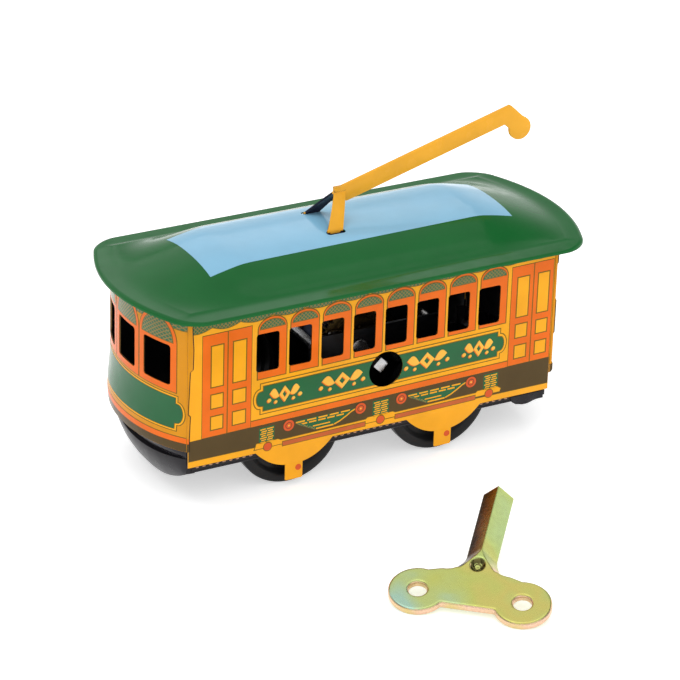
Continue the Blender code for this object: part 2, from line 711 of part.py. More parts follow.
def make_mainspring():
    """A spiral ribbon between the arbor and the upper left pillar."""
    per_turn = 18
    steps = SPRING_TURNS * per_turn
    last_angle = direction_to(ARBOR, PILLARS[1])
    reach = (Vector(PILLARS[1]) - Vector(ARBOR)).length - PILLAR_RADIUS - 2 * GAP
    inner, outer = [], []
    for i in range(steps + 1):
        angle = last_angle + 2 * math.pi * (i - steps) / per_turn
        radius = SPRING_RADII[0] + (SPRING_RADII[1] - SPRING_RADII[0]) * i / steps
        tail = max(0, i - (steps - 3)) / 3
        radius += (reach - SPRING_RADII[1]) * tail ** 2
        inner.append((radius * math.cos(angle), radius * math.sin(angle)))
        wide = radius + SPRING_SHEET
        outer.append((wide * math.cos(angle), wide * math.sin(angle)))
    low, high = SPRING_Y
    spring = standing_piece("mainspring", [inner + outer[::-1]], (low + high) / 2, high - low, ARBOR)
    dress(spring, blued_steel, toy)


def make_click(axis):
    """The click, its stud and its wire spring ride on the great wheel."""
    pivot = (-5.2 * MM, 2.9 * MM)
    outline = arc(pivot, 1.1 * MM, math.radians(75), math.radians(285), 8)
    outline += [(x * MM, z * MM) for x, z in ((-4.1, 2.0), (-3.4, 2.85), (-3.1, 3.5), (-3.7, 3.75))]
    eye = circle(STUD_RADIUS + PRESS_GAP, 12, pivot)
    click = standing_piece("click", [outline, eye], RATCHET_Y, RATCHET_SHEET)
    dress(click, bright_steel, axis, smooth=False)
    stud_start = GREAT_Y - GREAT_SHEET / 2 - 0.2 * MM
    stud = rod("click_stud", STUD_RADIUS, -5.1 * MM, stud_start, 12)
    stud.location = (pivot[0], 0, pivot[1])
    dress(stud, bright_steel, axis)
    curve = bpy.data.curves.new("click_spring", "CURVE")
    curve.dimensions = "3D"
    curve.bevel_depth = 0.16 * MM
    curve.bevel_resolution = 0
    curve.use_fill_caps = True
    spline = curve.splines.new("POLY")
    bend = arc((0, 0), 6.2 * MM, math.radians(124), math.radians(60), 8)
    wire = [(-4.1 * MM, 4.35 * MM)] + bend
    spline.points.add(len(wire) - 1)
    for point, (x, z) in zip(spline.points, wire):
        point.co = (x, RATCHET_Y, z, 1)
    wire_object = bpy.data.objects.new("click_spring", curve)
    parts.objects.link(wire_object)
    spring = mesh_from_curve(wire_object)
    dress(spring, brass, axis)


def make_gear_train():
    """Great wheel, second wheel and drive pinion, each phased so that a tooth meets a gap."""
    axle = (REAR_AXLE_X, WHEEL_RADIUS)
    to_second = direction_to(ARBOR, second_shaft)
    to_axle = direction_to(second_shaft, axle)
    great_axis = new_empty("great_wheel_axis", (ARBOR[0], 0, ARBOR[1]))
    great_axis.parent = toy
    bore = circle(ARBOR_BORE, 24)
    great = standing_piece("great_wheel", [gear(GREAT_TEETH, to_second), bore], GREAT_Y, GREAT_SHEET)
    dress(great, brass, great_axis, smooth=False)
    make_click(great_axis)

    second_axis = new_empty("second_axis", (second_shaft[0], 0, second_shaft[1]))
    second_axis.parent = toy
    shaft = rod("second_arbor", AXLE_RADIUS, -SHAFT_END_Y, SHAFT_END_Y)
    dress(shaft, bright_steel, second_axis)
    eye = circle(AXLE_RADIUS + PRESS_GAP, 16)
    pinion_phase = to_second + math.pi + math.pi / PINION_TEETH
    pinion = standing_piece("second_pinion", [gear(PINION_TEETH, pinion_phase), eye], GREAT_Y, PINION_WIDTH)
    dress(pinion, bright_steel, second_axis, smooth=False)
    wheel = standing_piece("second_wheel", [gear(SECOND_TEETH, to_axle), eye], SECOND_Y, SECOND_SHEET)
    dress(wheel, brass, second_axis, smooth=False)

    drive_phase = to_axle + math.pi + math.pi / PINION_TEETH
    drive = standing_piece("drive_pinion", [gear(PINION_TEETH, drive_phase), eye], SECOND_Y, PINION_WIDTH)
    dress(drive, bright_steel, bpy.data.objects["rear_axle_axis"], smooth=False)


# ---------------------------------------------------------------- key

def key_outline():
    """Two round lobes joined by a waist, with shoulders that run up to the stem."""
    half = KEY_HOLE_SPACING / 2
    neck = KEY_TUBE * 0.72
    lobe = arc((half, 0), KEY_LOBE, math.radians(-150), math.radians(100), 20)
    shoulder = [(neck + 2.6 * MM, 6.5 * MM), (neck + 1.0 * MM, 7.4 * MM), (neck + 0.2 * MM, 8.8 * MM),
                (neck, KEY_TUBE_START + 1.5 * MM)]
    right = lobe + shoulder
    return right + [(-x, y) for x, y in reversed(right)]


def make_key():
    """The key rests on the edge of its bow and on the near corner of its square stem, so it leans."""
    diagonal = KEY_TUBE * math.sqrt(2)
    lean = math.atan2(diagonal - KEY_RIDGE - KEY_SHEET, KEY_TUBE_START + KEY_LOBE)
    half = KEY_HOLE_SPACING / 2
    holes = [circle(KEY_HOLE, 20, (side * half, 0)) for side in (-1, 1)]
    key = flat_piece("winding_key", [key_outline(), *holes], KEY_SHEET)

    def tube(name, side, first, last):
        piece = box(name, (-side / 2, first, -side / 2), (side / 2, last, side / 2), cutters)
        piece.rotation_euler = (0, math.pi / 4, 0)
        piece.location = (0, 0, KEY_SHEET / 2 + KEY_RIDGE - diagonal / 2)
        piece.parent = key
        return piece

    boolean(key, tube("key_tube", KEY_TUBE, KEY_TUBE_START, KEY_REACH), "UNION")
    bore = tube("key_tube_bore", KEY_TUBE_BORE, KEY_TUBE_START + 3.0 * MM, KEY_REACH + 2 * MM)
    boolean(key, bore, "DIFFERENCE")
    lift = KEY_LOBE * math.sin(lean) + KEY_SHEET / 2 * math.cos(lean)
    key.rotation_euler = (lean, 0, KEY_YAW)
    key.location = (*KEY_PLACE, lift)
    dress(key, key_zinc, None, smooth=False)


# ---------------------------------------------------------------- the model

remove_all_objects()
parts = new_collection("wind_up_trolley")
cutters = new_collection("cutters")
cutters.hide_render = True

litho_yellow = new_material("litho_yellow", (0.93, 0.53, 0.07), 0.28, 0.0)
litho_orange = new_material("litho_orange", (0.85, 0.25, 0.06), 0.28, 0.0)
roof_green = new_material("roof_green", (0.03, 0.20, 0.07), 0.18, 0.0)
pole_orange = new_material("pole_orange", (0.90, 0.42, 0.05), 0.3, 0.0)
chassis_black = new_material("chassis_black", (0.02, 0.02, 0.025), 0.35, 0.0)
wheel_black = new_material("wheel_black", (0.015, 0.015, 0.018), 0.35, 0.0)
bright_steel = new_material("bright_steel", (0.62, 0.62, 0.62), 0.3, 1.0)
plate_steel = new_material("plate_steel", (0.45, 0.45, 0.46), 0.4, 1.0)
blued_steel = new_material("blued_steel", (0.10, 0.11, 0.15), 0.3, 1.0)
brass = new_material("brass", (0.72, 0.53, 0.22), 0.3, 1.0)
key_zinc = new_material("key_zinc", (0.66, 0.60, 0.28), 0.3, 1.0)

toy = new_empty("trolley_frame", (0, TOY_Y, 0))
second_shaft = second_shaft_place()

make_side_panels()
make_end_panel("end_panel_front", -1)
make_end_panel("end_panel_rear", 1)
make_roof()
make_trolley_pole()
make_chassis_base()
make_fender("front_fender", -1)
make_fender("rear_fender", 1)
make_axle_bracket()
make_running_gear()
make_motor_plates()
make_winding_arbor()
make_mainspring()
make_gear_train()
make_key()
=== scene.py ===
"""Looks for the wind-up tin trolley and its key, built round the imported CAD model.

Lengths are millimetres in the trolley's own frame: X along the car, its near side facing -Y, the floor at 0.
add_piece turns a finished mesh into metres in the shared frame.
"""
from math import asin, atan2, cos, exp, hypot, log1p, pi, radians, sin, sqrt

import bmesh
import bpy
from mathutils import Matrix, Vector
from mathutils.geometry import tessellate_polygon


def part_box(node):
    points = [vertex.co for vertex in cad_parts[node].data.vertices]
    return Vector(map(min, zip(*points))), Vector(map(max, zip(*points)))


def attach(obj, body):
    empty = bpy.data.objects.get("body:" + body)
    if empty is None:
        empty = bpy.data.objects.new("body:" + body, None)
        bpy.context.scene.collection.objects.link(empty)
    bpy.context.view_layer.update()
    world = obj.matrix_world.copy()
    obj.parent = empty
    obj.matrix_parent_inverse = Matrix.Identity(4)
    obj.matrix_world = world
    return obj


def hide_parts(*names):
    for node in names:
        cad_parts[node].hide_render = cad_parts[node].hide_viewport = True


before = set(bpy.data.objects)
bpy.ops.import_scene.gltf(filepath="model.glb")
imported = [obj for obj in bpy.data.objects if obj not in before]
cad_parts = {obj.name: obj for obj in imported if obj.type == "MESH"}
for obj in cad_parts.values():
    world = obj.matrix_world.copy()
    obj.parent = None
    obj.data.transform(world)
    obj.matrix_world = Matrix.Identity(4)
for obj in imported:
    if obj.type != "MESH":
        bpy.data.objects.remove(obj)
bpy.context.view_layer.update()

MM = 0.001
ROOF_LOW, ROOF_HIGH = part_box("roof")
TOY_Y = (ROOF_LOW.y + ROOF_HIGH.y) / 2
TOY = Matrix.Translation((0, TOY_Y, 0)) @ Matrix.Diagonal((MM, MM, MM, 1))
SIDES = ((-1, "near"), (1, "far"))
CORNER_STEPS = 6
ARCH_STEPS = 20

# Body shell, as the CAD has it.
BODY_X = -1.0
HALF_LENGTH = 41.0
HALF_Y = 17.2
END_BOW = 4.8
END_RADIUS = (HALF_Y ** 2 + END_BOW ** 2) / (2 * END_BOW)
SIDE_BOTTOM = 8.9
END_BOTTOM = 12.5
SWELL_Z = 15.0
SWELL_REACH = 5.0
BODY_TOP = 41.15
SHEET = 0.3
WINDOW_PITCH = 7.08
WINDOWS_X = [(i - 3.5) * WINDOW_PITCH for i in range(8)]
WINDOW_SIZE = (4.9, 8.15)
WINDOW_Z = 30.58
WINDOW_CORNER = 0.6
END_WINDOW_SIZE = (7.1, 8.4)
END_WINDOW_PITCH = 10.1
END_WINDOWS_X = [i * END_WINDOW_PITCH for i in (-1, 0, 1)]
END_WINDOW_Z = 30.0
ARBOR = (1.55, 21.3)
WINDING_HOLE = 3.8
PEDESTAL_HALF = 8.5
PEDESTAL_DEPTH = 4.1
LEG_HALF = 1.95
LEG_BOTTOM = 1.4
FRONT_AXLE_X = -18.5
REAR_AXLE_X = 15.25
WHEEL_RADIUS = 11.35
WHEEL_FACE_Y = 15.4

# Roof and pole.
ROOF_CORNER_X = 43.5
ROOF_BOW = 6.4
ROOF_HALF = 21.75
ROOF_CORNER = 4.0
FLANGE = 4.3
EAVE_Z = 41.05
FLANGE_Z = 41.75
CREASE_RISE = 0.2
DOME_RISE = 5.5
DOME_HALF = 17.45
DOME_END = 18.6
DOME_FULLNESS = 2.69
DOME_END_FULLNESS = 1.28
FOOT_X = -4.05
FOOT_Y = 5.1
FOOT_HALF = 1.75
SLOT_Y = 5.35
SLOT_SIZE = (4.1, 1.5)
SLOT_CORNER = 0.7

# Key.
KEY_SHEET = 1.4
KEY_SPACING = 19.7
KEY_LOBE = 5.55
KEY_HOLE = 1.7
KEY_REACH = 29.0
KEY_TUBE = 4.3
KEY_BORE = 2.7
KEY_TUBE_START = 9.0
KEY_RIDGE = 0.3
STEM_Z = KEY_SHEET / 2 + KEY_RIDGE - KEY_TUBE / sqrt(2)
KEY_X = -11.4
KEY_Y = -41.7
KEY_YAW = radians(-41.0)

# Print: each ink stands a little proud of the one under it.
LEVEL = 0.012
SINK = 0.05
SLANT = 0.018
BAND_LOW = 10.3
BAND_TOP = 15.4
END_BAND_TOP = 14.3
END_TRIM_TOP = 15.45
VALANCE_DEPTH = 0.75
TRIM_TOP = BODY_TOP - 0.15
FRAME_SHIFT = 0.9
RING_Z = 13.9
BOARD_Z = 21.15

# Light and view. The light's figures are in metres.
LIGHT_DISTANCE = 1.2
LIGHT_TARGET = (0, 0.02, 0.02)
VIEW_TURN = (-29.133, 25.766, 1.795)
VIEW_TARGET = (1.85, 2.27, 19.08)
VIEW_DISTANCE = 672.3


# ---------------- materials

def linear(red, green, blue):
    """An sRGB colour in 0 to 255 as linear light."""
    values = [channel / 255 for channel in (red, green, blue)]
    return [v / 12.92 if v <= 0.04045 else ((v + 0.055) / 1.055) ** 2.4 for v in values]


class Nodes:
    """The node tree of a material or world, with its shader at hand."""

    def __init__(self, data, shader, place):
        self.data = data
        data.use_nodes = True
        self.tree = data.node_tree
        self.shader = self.tree.nodes[shader]
        self.place = self.add("ShaderNodeTexCoord").outputs[place]

    def feed(self, socket, value):
        """Gives a socket another node's output, a linear colour as a list, or a plain value."""
        if isinstance(value, bpy.types.NodeSocket):
            self.tree.links.new(value, socket)
        else:
            socket.default_value = (*value, 1) if isinstance(value, list) else value

    def add(self, kind, inputs=(), **settings):
        node = self.tree.nodes.new(kind)
        for key, value in settings.items():
            setattr(node, key, value)
        for socket, value in inputs:
            self.feed(node.inputs[socket], value)
        return node

    def mapped(self, socket, value):
        """The object's own coordinates, which are metres, scaled or turned."""
        return self.add("ShaderNodeMapping", [("Vector", self.place), (socket, value)]).outputs["Vector"]

    def axes(self, vector):
        return self.add("ShaderNodeSeparateXYZ", [("Vector", vector)]).outputs

    def noise(self, scale, detail=3, stretch=None):
        source = self.mapped("Scale", stretch) if stretch else self.place
        inputs = [("Vector", source), ("Scale", scale), ("Detail", detail)]
        return self.add("ShaderNodeTexNoise", inputs).outputs["Fac"]

    def ranged(self, value, low, high, start=0.3, end=0.7):
        inputs = [("Value", value), ("From Min", start), ("From Max", end), ("To Min", low), ("To Max", high)]
        return self.add("ShaderNodeMapRange", inputs).outputs["Result"]

    def mix(self, factor, first, second):
        """A colour between two."""
        inputs = [("Factor", factor), (6, first), (7, second)]
        return self.add("ShaderNodeMix", inputs, data_type="RGBA").outputs[2]

    def ramp(self, value, stops):
        """The colour at a value along a ramp of (position, linear colour) stops."""
        node = self.add("ShaderNodeValToRGB", [("Fac", value)])
        elements = node.color_ramp.elements
        while len(elements) < len(stops):
            elements.new(0.5)
        for element, (position, colour) in zip(elements, stops):
            element.position = position
            element.color = (*colour, 1)
        return node.outputs["Color"]

    def math(self, operation, first, second):
        return self.add("ShaderNodeMath", [(0, first), (1, second)], operation=operation).outputs["Value"]

    def set(self, **values):
        """Feeds the shader's sockets, named with underscores."""
        for key, value in values.items():
            self.feed(self.shader.inputs[key.replace("_", " ").title().replace("Ior", "IOR")], value)

    def finish(self, colour, roughness, height, distance, **values):
        """Gives the shader its colour, roughness, bump and other values, and returns the material."""
        bump = self.add("ShaderNodeBump", [("Height", height), ("Distance", distance)])
        self.set(base_color=colour, roughness=roughness, normal=bump.outputs["Normal"], **values)
        return self.data


def material_nodes(name):
    return Nodes(bpy.data.materials.new(name), "Principled BSDF", "Object")


def shades(colour, amount):
    """A darker and a lighter version of an sRGB colour, as linear light."""
    values = linear(*colour)
    return [c * (1 - amount) for c in values], [min(c * (1 + amount), 1) for c in values]


def lacquer(name, colour, roughness=0.2, amount=0.07, specular=0.14, peel=2.5e-5):
    """Gloss paint or print on tinplate: cloudy ink, fine specks, uneven gloss and a trace of orange peel."""
    nodes = material_nodes(name)
    clouds = nodes.mix(nodes.ranged(nodes.noise(140), 0, 1), *shades(colour, amount))
    specks = nodes.math("MULTIPLY", nodes.ranged(nodes.noise(5200, 2), 0, 1, 0.62, 0.78), 0.35)
    faded = [min(c * 1.12 + 0.012, 1) for c in linear(*colour)]
    uneven = nodes.ranged(nodes.noise(420, 4), roughness - 0.05, roughness + 0.07)
    return nodes.finish(nodes.mix(specks, clouds, faded), uneven, nodes.noise(380, 2), peel,
                        specular_ior_level=specular)


def lattice_print(name, ground, line, pitch=0.0008, share=0.26):
    """Crossing diagonal lines on a darker ground, as a printed trellis."""
    nodes = material_nodes(name)
    axes = nodes.axes(nodes.place)
    across = nodes.math("ADD", axes["X"], axes["Y"])
    marks = []
    for operation in ("ADD", "SUBTRACT"):
        diagonal = nodes.math(operation, across, axes["Z"])
        part = nodes.math("FRACT", nodes.math("DIVIDE", diagonal, pitch), 0)
        marks.append(nodes.math("LESS_THAN", part, share))
    lines = nodes.math("MULTIPLY", nodes.math("MAXIMUM", *marks), 0.75)
    field = nodes.mix(nodes.ranged(nodes.noise(300), 0, 1), *shades(ground, 0.12))
    return nodes.finish(nodes.mix(lines, field, linear(*line)), nodes.ranged(nodes.noise(420), 0.17, 0.28),
                        nodes.noise(380, 2), 2.5e-5, specular_ior_level=0.35)


def metal(name, colour, roughness, stretch=(1, 1, 1), tint=None):
    """Bare metal with rolling marks along one way, small stains and uneven polish."""
    nodes = material_nodes(name)
    marks = nodes.noise(2600, 3, stretch)
    base = nodes.mix(nodes.ranged(marks, 0, 1), *shades(colour, 0.15))
    if tint:
        base = nodes.mix(nodes.ranged(nodes.noise(170, 2), 0, 0.8, 0.45, 0.7), base, linear(*tint))
    polish = nodes.ranged(marks, roughness - 0.08, roughness + 0.1)
    return nodes.finish(base, polish, marks, 2e-5, metallic=1.0)


def plated_key():
    """Yellow zinc plating: pale green and straw drift along it in soft bands."""
    nodes = material_nodes("key_yellow_zinc")
    along = nodes.ranged(nodes.axes(nodes.place)["X"], 0.0, 0.55, -0.0245, 0.002)
    drift = nodes.math("ADD", along, nodes.ranged(nodes.noise(120, 1), 0.02, 0.3))
    stops = ((0.13, (160, 192, 172)), (0.26, (178, 190, 122)), (0.44, (184, 188, 104)),
             (0.56, (194, 184, 104)), (0.68, (176, 190, 114)), (0.84, (168, 188, 130)))
    bands = nodes.ramp(drift, [(position, linear(*colour)) for position, colour in stops])
    fine = nodes.noise(900, 4)
    shaded = nodes.mix(nodes.ranged(fine, 0, 0.07), bands, linear(120, 104, 50))
    return nodes.finish(shaded, nodes.ranged(fine, 0.22, 0.32), nodes.noise(700, 2), 0.7e-5, metallic=1.0)


def stem_shade_material():
    """Painted shade on the left face of the key's fold and stem: nearly black along its outer edge, through
    brown to gold at the ridge.
    """
    nodes = material_nodes("key_stem_painted_shade")
    turned = nodes.mapped("Rotation", (0, 0, -KEY_YAW))
    ridge = (KEY_X * cos(KEY_YAW) + KEY_Y * sin(KEY_YAW)) * MM
    across = nodes.ranged(nodes.axes(turned)["X"], 0.0, 0.85, ridge - KEY_TUBE / sqrt(2) * MM, ridge)
    drift = nodes.math("ADD", across, nodes.ranged(nodes.noise(240, 2), -0.08, 0.22))
    stops = ((0.1, (34, 28, 24)), (0.34, (74, 50, 24)), (0.62, (132, 96, 38)), (0.95, (170, 150, 78)))
    bands = nodes.ramp(drift, [(position, linear(*colour)) for position, colour in stops])
    return nodes.finish(bands, nodes.ranged(nodes.noise(900, 3), 0.22, 0.36), nodes.noise(700, 2), 0.8e-5,
                        metallic=1.0)


INK = {}
for ink_name, ink_colour, ink_gloss, ink_specular in (
        ("yellow", (241, 166, 30), 0.2, 0.14), ("orange", (229, 106, 24), 0.2, 0.14),
        ("olive", (112, 92, 26), 0.22, 0.14), ("board_green", (19, 93, 49), 0.16, 0.3),
        ("brown", (82, 65, 34), 0.2, 0.14), ("red_brown", (192, 96, 50), 0.22, 0.14),
        ("disc_orange", (212, 86, 40), 0.22, 0.14), ("gold", (242, 182, 70), 0.2, 0.14)):
    INK[ink_name] = lacquer(f"print_{ink_name}", ink_colour, ink_gloss, specular=ink_specular)
INK["lattice"] = lattice_print("print_lattice", (40, 98, 58), (156, 118, 44))
INK_ORDER = list(INK)
# The end panels' deeper yellow, also on their flanges, darkened further as painted shade for the ends turned
# from the light.
end_yellow_and_shade = lacquer("print_end_yellow_and_shade", (212, 140, 20), 0.2)
# Near black standing in for shade: painted shade on inside faces, the roof's underside and the gap beside the
# end flanges.
painted_shade_dark = lacquer("painted_shade_dark", (12, 11, 13), 0.5, 0.3, 0.2)
cut_edge = metal("cut_edge", (120, 96, 60), 0.4)
roof_paint = lacquer("roof_enamel", (24, 97, 45), 0.14, 0.05, 0.12, 1.2e-5)
blue_paint = lacquer("roof_blue", (134, 188, 218), 0.14, 0.04, 0.3, 1.2e-5)
pole_paint = lacquer("pole_enamel", (240, 172, 50), 0.24)
# The legs' dark back colour, also laid on each foot's rounded lower end as painted shade where it enters the
# slot.
pole_back_and_foot_shade = lacquer("pole_back_and_foot_shade", (34, 36, 52), 0.3, 0.2)
black_enamel = lacquer("black_enamel", (25, 23, 28), 0.3, 0.25, 0.25, 6e-5)
wheel_paint = lacquer("wheel_enamel", (16, 16, 17), 0.34, 0.25, 0.22, 4e-5)
bright_steel = metal("bright_steel_worn", (190, 190, 192), 0.28, (1, 6, 1), (150, 146, 140))
# Motor plate steel made much darker than bare steel: painted shade for the dark inside of the body.
motor_plate_shade_paint = metal("motor_plates_painted_shade", (58, 58, 62), 0.4, (0.15, 1, 1), (48, 45, 42))
spring_steel = metal("spring_steel_blued", (52, 56, 72), 0.3, (1, 0.2, 1), (70, 54, 44))
# Brass made far darker than cut brass: painted shade for the clockwork inside the body.
brass_shade_paint = metal("brass_painted_shade", (86, 70, 40), 0.34, (1, 1, 1), (66, 50, 28))
crimp_metal = metal("crimp_metal", (176, 140, 110), 0.25)
key_plating = plated_key()
key_stem_shade = stem_shade_material()
# Darker colour in the dimple: painted shade in the hollow.
key_dimple_shade = metal("key_dimple_painted_shade", (112, 106, 62), 0.18, (1, 1, 1), (70, 64, 40))
# Rose plating tint on the bow's rims, made paler as a painted highlight.
key_rim_rose_and_highlight = metal("key_rose_rim_painted_highlight", (222, 186, 158), 0.22, (1, 1, 1), (206, 190, 120))


# ---------------- outlines in a flat (u, v) plane

def rect(left, low, right, high):
    return [(left, low), (right, low), (right, high), (left, high)]


def grown_rect(box, by):
    left, low, right, high = box
    return rect(left - by, low - by, right + by, high + by)


def arc(centre, radii, first, last, steps):
    """Points on part of an ellipse, with angles in degrees."""
    angles = [radians(first + (last - first) * i / steps) for i in range(steps + 1)]
    return [(centre[0] + radii[0] * cos(a), centre[1] + radii[1] * sin(a)) for a in angles]


def disc(centre, radius, steps=28):
    return arc(centre, (radius, radius), 0, 360, steps)[:-1]


def rounded_rect(centre, size, radius):
    points = []
    for quarter, (sx, sy) in enumerate(((1, 1), (-1, 1), (-1, -1), (1, -1))):
        middle = (centre[0] + sx * (size[0] / 2 - radius), centre[1] + sy * (size[1] / 2 - radius))
        points += arc(middle, (radius, radius), quarter * 90, (quarter + 1) * 90, CORNER_STEPS)
    return points


def half_ellipse(centre, half, rise):
    return arc(centre, (half, rise), 0, 180, ARCH_STEPS)


def lozenge(centre, half_width, half_height):
    x, y = centre
    return [(x - half_width, y), (x, y - half_height), (x + half_width, y), (x, y + half_height)]


def area(loop):
    return sum(a[0] * b[1] - b[0] * a[1] for a, b in zip(loop, loop[1:] + loop[:1])) / 2


def inset_loop(loop, distance):
    """The loop with each edge moved inwards, with mitred corners."""
    sign = 1 if area(loop) > 0 else -1
    moved = []
    for before, point, after in zip(loop[-1:] + loop[:-1], loop, loop[1:] + loop[:1]):
        first = Vector(point) - Vector(before)
        second = Vector(after) - Vector(point)
        one, two = Vector((-first.y, first.x)).normalized(), Vector((-second.y, second.x)).normalized()
        mitre = (one + two) / max(1 + one.dot(two), 0.3)
        moved.append((point[0] + sign * distance * mitre.x, point[1] + sign * distance * mitre.y))
    return moved


def stroke(points, width):
    """A line of the given width through the points."""
    left, right = [], []
    for i, point in enumerate(points):
        before, after = points[max(i - 1, 0)], points[min(i + 1, len(points) - 1)]
        along = (Vector(after) - Vector(before)).normalized()
        aside = Vector((-along.y, along.x)) * width / 2
        left.append((point[0] + aside.x, point[1] + aside.y))
        right.append((point[0] - aside.x, point[1] - aside.y))
    return left + right[::-1]


def plaque(left, right, low, high, step, bulge):
    """A board whose ends swell out between small square notches."""
    inner_left, inner_right, middle = left + bulge, right - bulge, (low + high) / 2
    reach = (high - low) / 2 - step
    loop = [(inner_left, low), (inner_right, low)]
    loop += arc((inner_right, middle), (bulge, reach), -90, 90, 14)
    loop += [(inner_right, high), (inner_left, high)]
    return loop + arc((inner_left, middle), (bulge, reach), 90, 270, 14)


def leaf(centre, size, side):
    """A curled leaf that points away from the middle of an ornament."""
    x, y = centre
    width, height = size
    edge = [(i / 10, 0.5) for i in range(11)] + [(i / 10, -0.25) for i in range(9, 0, -1)]
    return [(x + side * width * (t - 0.5), y + height * (swell * sin(pi * t) + 0.35 * t - 0.1))
            for t, swell in edge]


# ---------------- meshes

def join_rings(bm, rings):
    """Quads between closed rings of vertices. Returns the faces."""
    faces = []
    for lower, upper in zip(rings, rings[1:]):
        for i in range(len(lower)):
            j = (i + 1) % len(lower)
            faces.append(bm.faces.new((lower[i], lower[j], upper[j], upper[i])))
    return faces


def prism(bm, loops, low, high, rounding=0.0, slot=0):
    """A flat plate between two heights, in a material slot. The loops after the first are holes."""
    solid = [loop if (area(loop) > 0) == (i == 0) else loop[::-1] for i, loop in enumerate(loops)]
    profile = [(0, low), (0, high)]
    if rounding:
        profile = [(0, low), (0, high - rounding), (0.3 * rounding, high - 0.3 * rounding), (rounding, high)]
    layers = []
    for inset, height in profile:
        rings = [inset_loop(solid[0], inset)] + [inset_loop(hole, -inset) for hole in solid[1:]]
        layers.append([[bm.verts.new((x, y, height)) for x, y in ring] for ring in rings])
    faces = []
    for layer_pair in zip(layers, layers[1:]):
        for ring_pair in zip(*layer_pair):
            faces += join_rings(bm, ring_pair)
    for layer, turned in ((layers[0], True), (layers[-1], False)):
        flat = [vert for ring in layer for vert in ring]
        for triangle in tessellate_polygon([[vert.co for vert in ring] for ring in layer]):
            corners = [flat[i] for i in triangle]
            faces.append(bm.faces.new(corners[::-1] if turned else corners))
    for face in faces:
        face.material_index = slot


def slice_mesh(bm, us, vs=()):
    """Cuts every face at the given u and v values, so that a flat mesh can bend."""
    cuts = [((u, 0, 0), (1, 0, 0)) for u in us] + [((0, v, 0), (0, 1, 0)) for v in vs]
    for point, normal in cuts:
        bmesh.ops.bisect_plane(bm, geom=bm.verts[:] + bm.edges[:] + bm.faces[:], plane_co=point,
                               plane_no=normal, dist=1e-5)


def face_outwards(bm):
    bmesh.ops.recalc_face_normals(bm, faces=bm.faces)


def bend(bm, surface):
    """Carries each flat (u, v, w) point to its place on a surface."""
    for vert in bm.verts:
        vert.co = surface(*vert.co)
    face_outwards(bm)


def scene_object(name, data):
    obj = bpy.data.objects.new(name, data)
    bpy.context.scene.collection.objects.link(obj)
    return obj


def mesh_object(name, bm):
    """An object in the scene with bm's mesh. bm is used up."""
    mesh = bpy.data.meshes.new(name)
    bm.to_mesh(mesh)
    bm.free()
    return scene_object(name, mesh)


def append(bm, other):
    """Adds another bmesh's faces to bm. The other is used up."""
    mesh = bpy.data.meshes.new("ink")
    other.to_mesh(mesh)
    other.free()
    bm.from_mesh(mesh)
    bpy.data.meshes.remove(mesh)


def evaluated(obj):
    """The object's mesh with its modifiers, as a bmesh. The object is removed."""
    bpy.context.view_layer.update()
    bm = bmesh.new()
    bm.from_object(obj, bpy.context.evaluated_depsgraph_get())
    bm.normal_update()
    mesh = obj.data
    bpy.data.objects.remove(obj, do_unlink=True)
    bpy.data.meshes.remove(mesh)
    return bm


def combined(bm, tool, operation):
    """bm and tool joined by an exact Boolean. Both are used up."""
    obj, other = mesh_object("work", bm), mesh_object("tool", tool)
    modifier = obj.modifiers.new("Boolean", "BOOLEAN")
    modifier.operation = operation
    modifier.solver = "EXACT"
    modifier.object = other
    result = evaluated(obj)
    evaluated(other).free()
    return result


def thickened(bm, thickness):
    """bm as sheet metal, thickened inwards."""
    obj = mesh_object("work", bm)
    modifier = obj.modifiers.new("Sheet", "SOLIDIFY")
    modifier.thickness = thickness
    modifier.offset = -1
    modifier.use_even_offset = True
    return evaluated(obj)


def grid_faces(bm, rows):
    """Quads between rows of points."""
    verts = [[bm.verts.new(point) for point in row] for row in rows]
    for lower, upper in zip(verts, verts[1:]):
        for a, b, c, d in zip(lower, lower[1:], upper[1:], upper):
            bm.faces.new((a, b, c, d))
    return verts


def face_towards(bm, direction):
    """Turns an open sheet's faces to look along a direction, on the whole."""
    face_outwards(bm)
    bm.normal_update()
    total = sum((face.normal * face.calc_area() for face in bm.faces), Vector())
    if total.dot(Vector(direction)) < 0:
        bmesh.ops.reverse_faces(bm, faces=bm.faces)


def sheet_through(rows, direction, thickness):
    """Sheet metal through rows of points, with its outer face along a direction."""
    bm = bmesh.new()
    grid_faces(bm, rows)
    face_towards(bm, direction)
    return thickened(bm, thickness)


def add_piece(name, bm, materials, body="trolley_body", replaces=(), place=TOY, sharp=35):
    """Makes a piece from a mesh in millimetres, and lets it ride on a body."""
    bmesh.ops.transform(bm, matrix=place, verts=bm.verts)
    obj = mesh_object(name, bm)
    for material in materials:
        obj.data.materials.append(material)
    obj.data.shade_smooth()
    obj.data.set_sharp_from_angle(angle=radians(sharp))
    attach(obj, body)
    if replaces:
        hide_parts(*replaces)


def rod_mesh(bm, radius, start, end, segments=32, rounding=0.15):
    """A rod with rounded ends along the line from start to end."""
    start, end = Vector(start), Vector(end)
    axis = (end - start).normalized()
    side = axis.orthogonal().normalized()
    up = axis.cross(side)
    profile = [(radius - rounding, 0), (radius - 0.3 * rounding, 0.3 * rounding), (radius, rounding)]
    length = (end - start).length
    profile += [(r, length - d) for r, d in reversed(profile)]
    turns = [2 * pi * i / segments for i in range(segments)]
    spokes = [side * cos(a) + up * sin(a) for a in turns]
    rings = [[bm.verts.new(start + axis * d + spoke * r) for spoke in spokes] for r, d in profile]
    join_rings(bm, rings)
    bm.faces.new(rings[0][::-1])
    bm.faces.new(rings[-1])


# ---------------- surfaces

def upright(u, v, w):
    return Vector((u, -w, v))


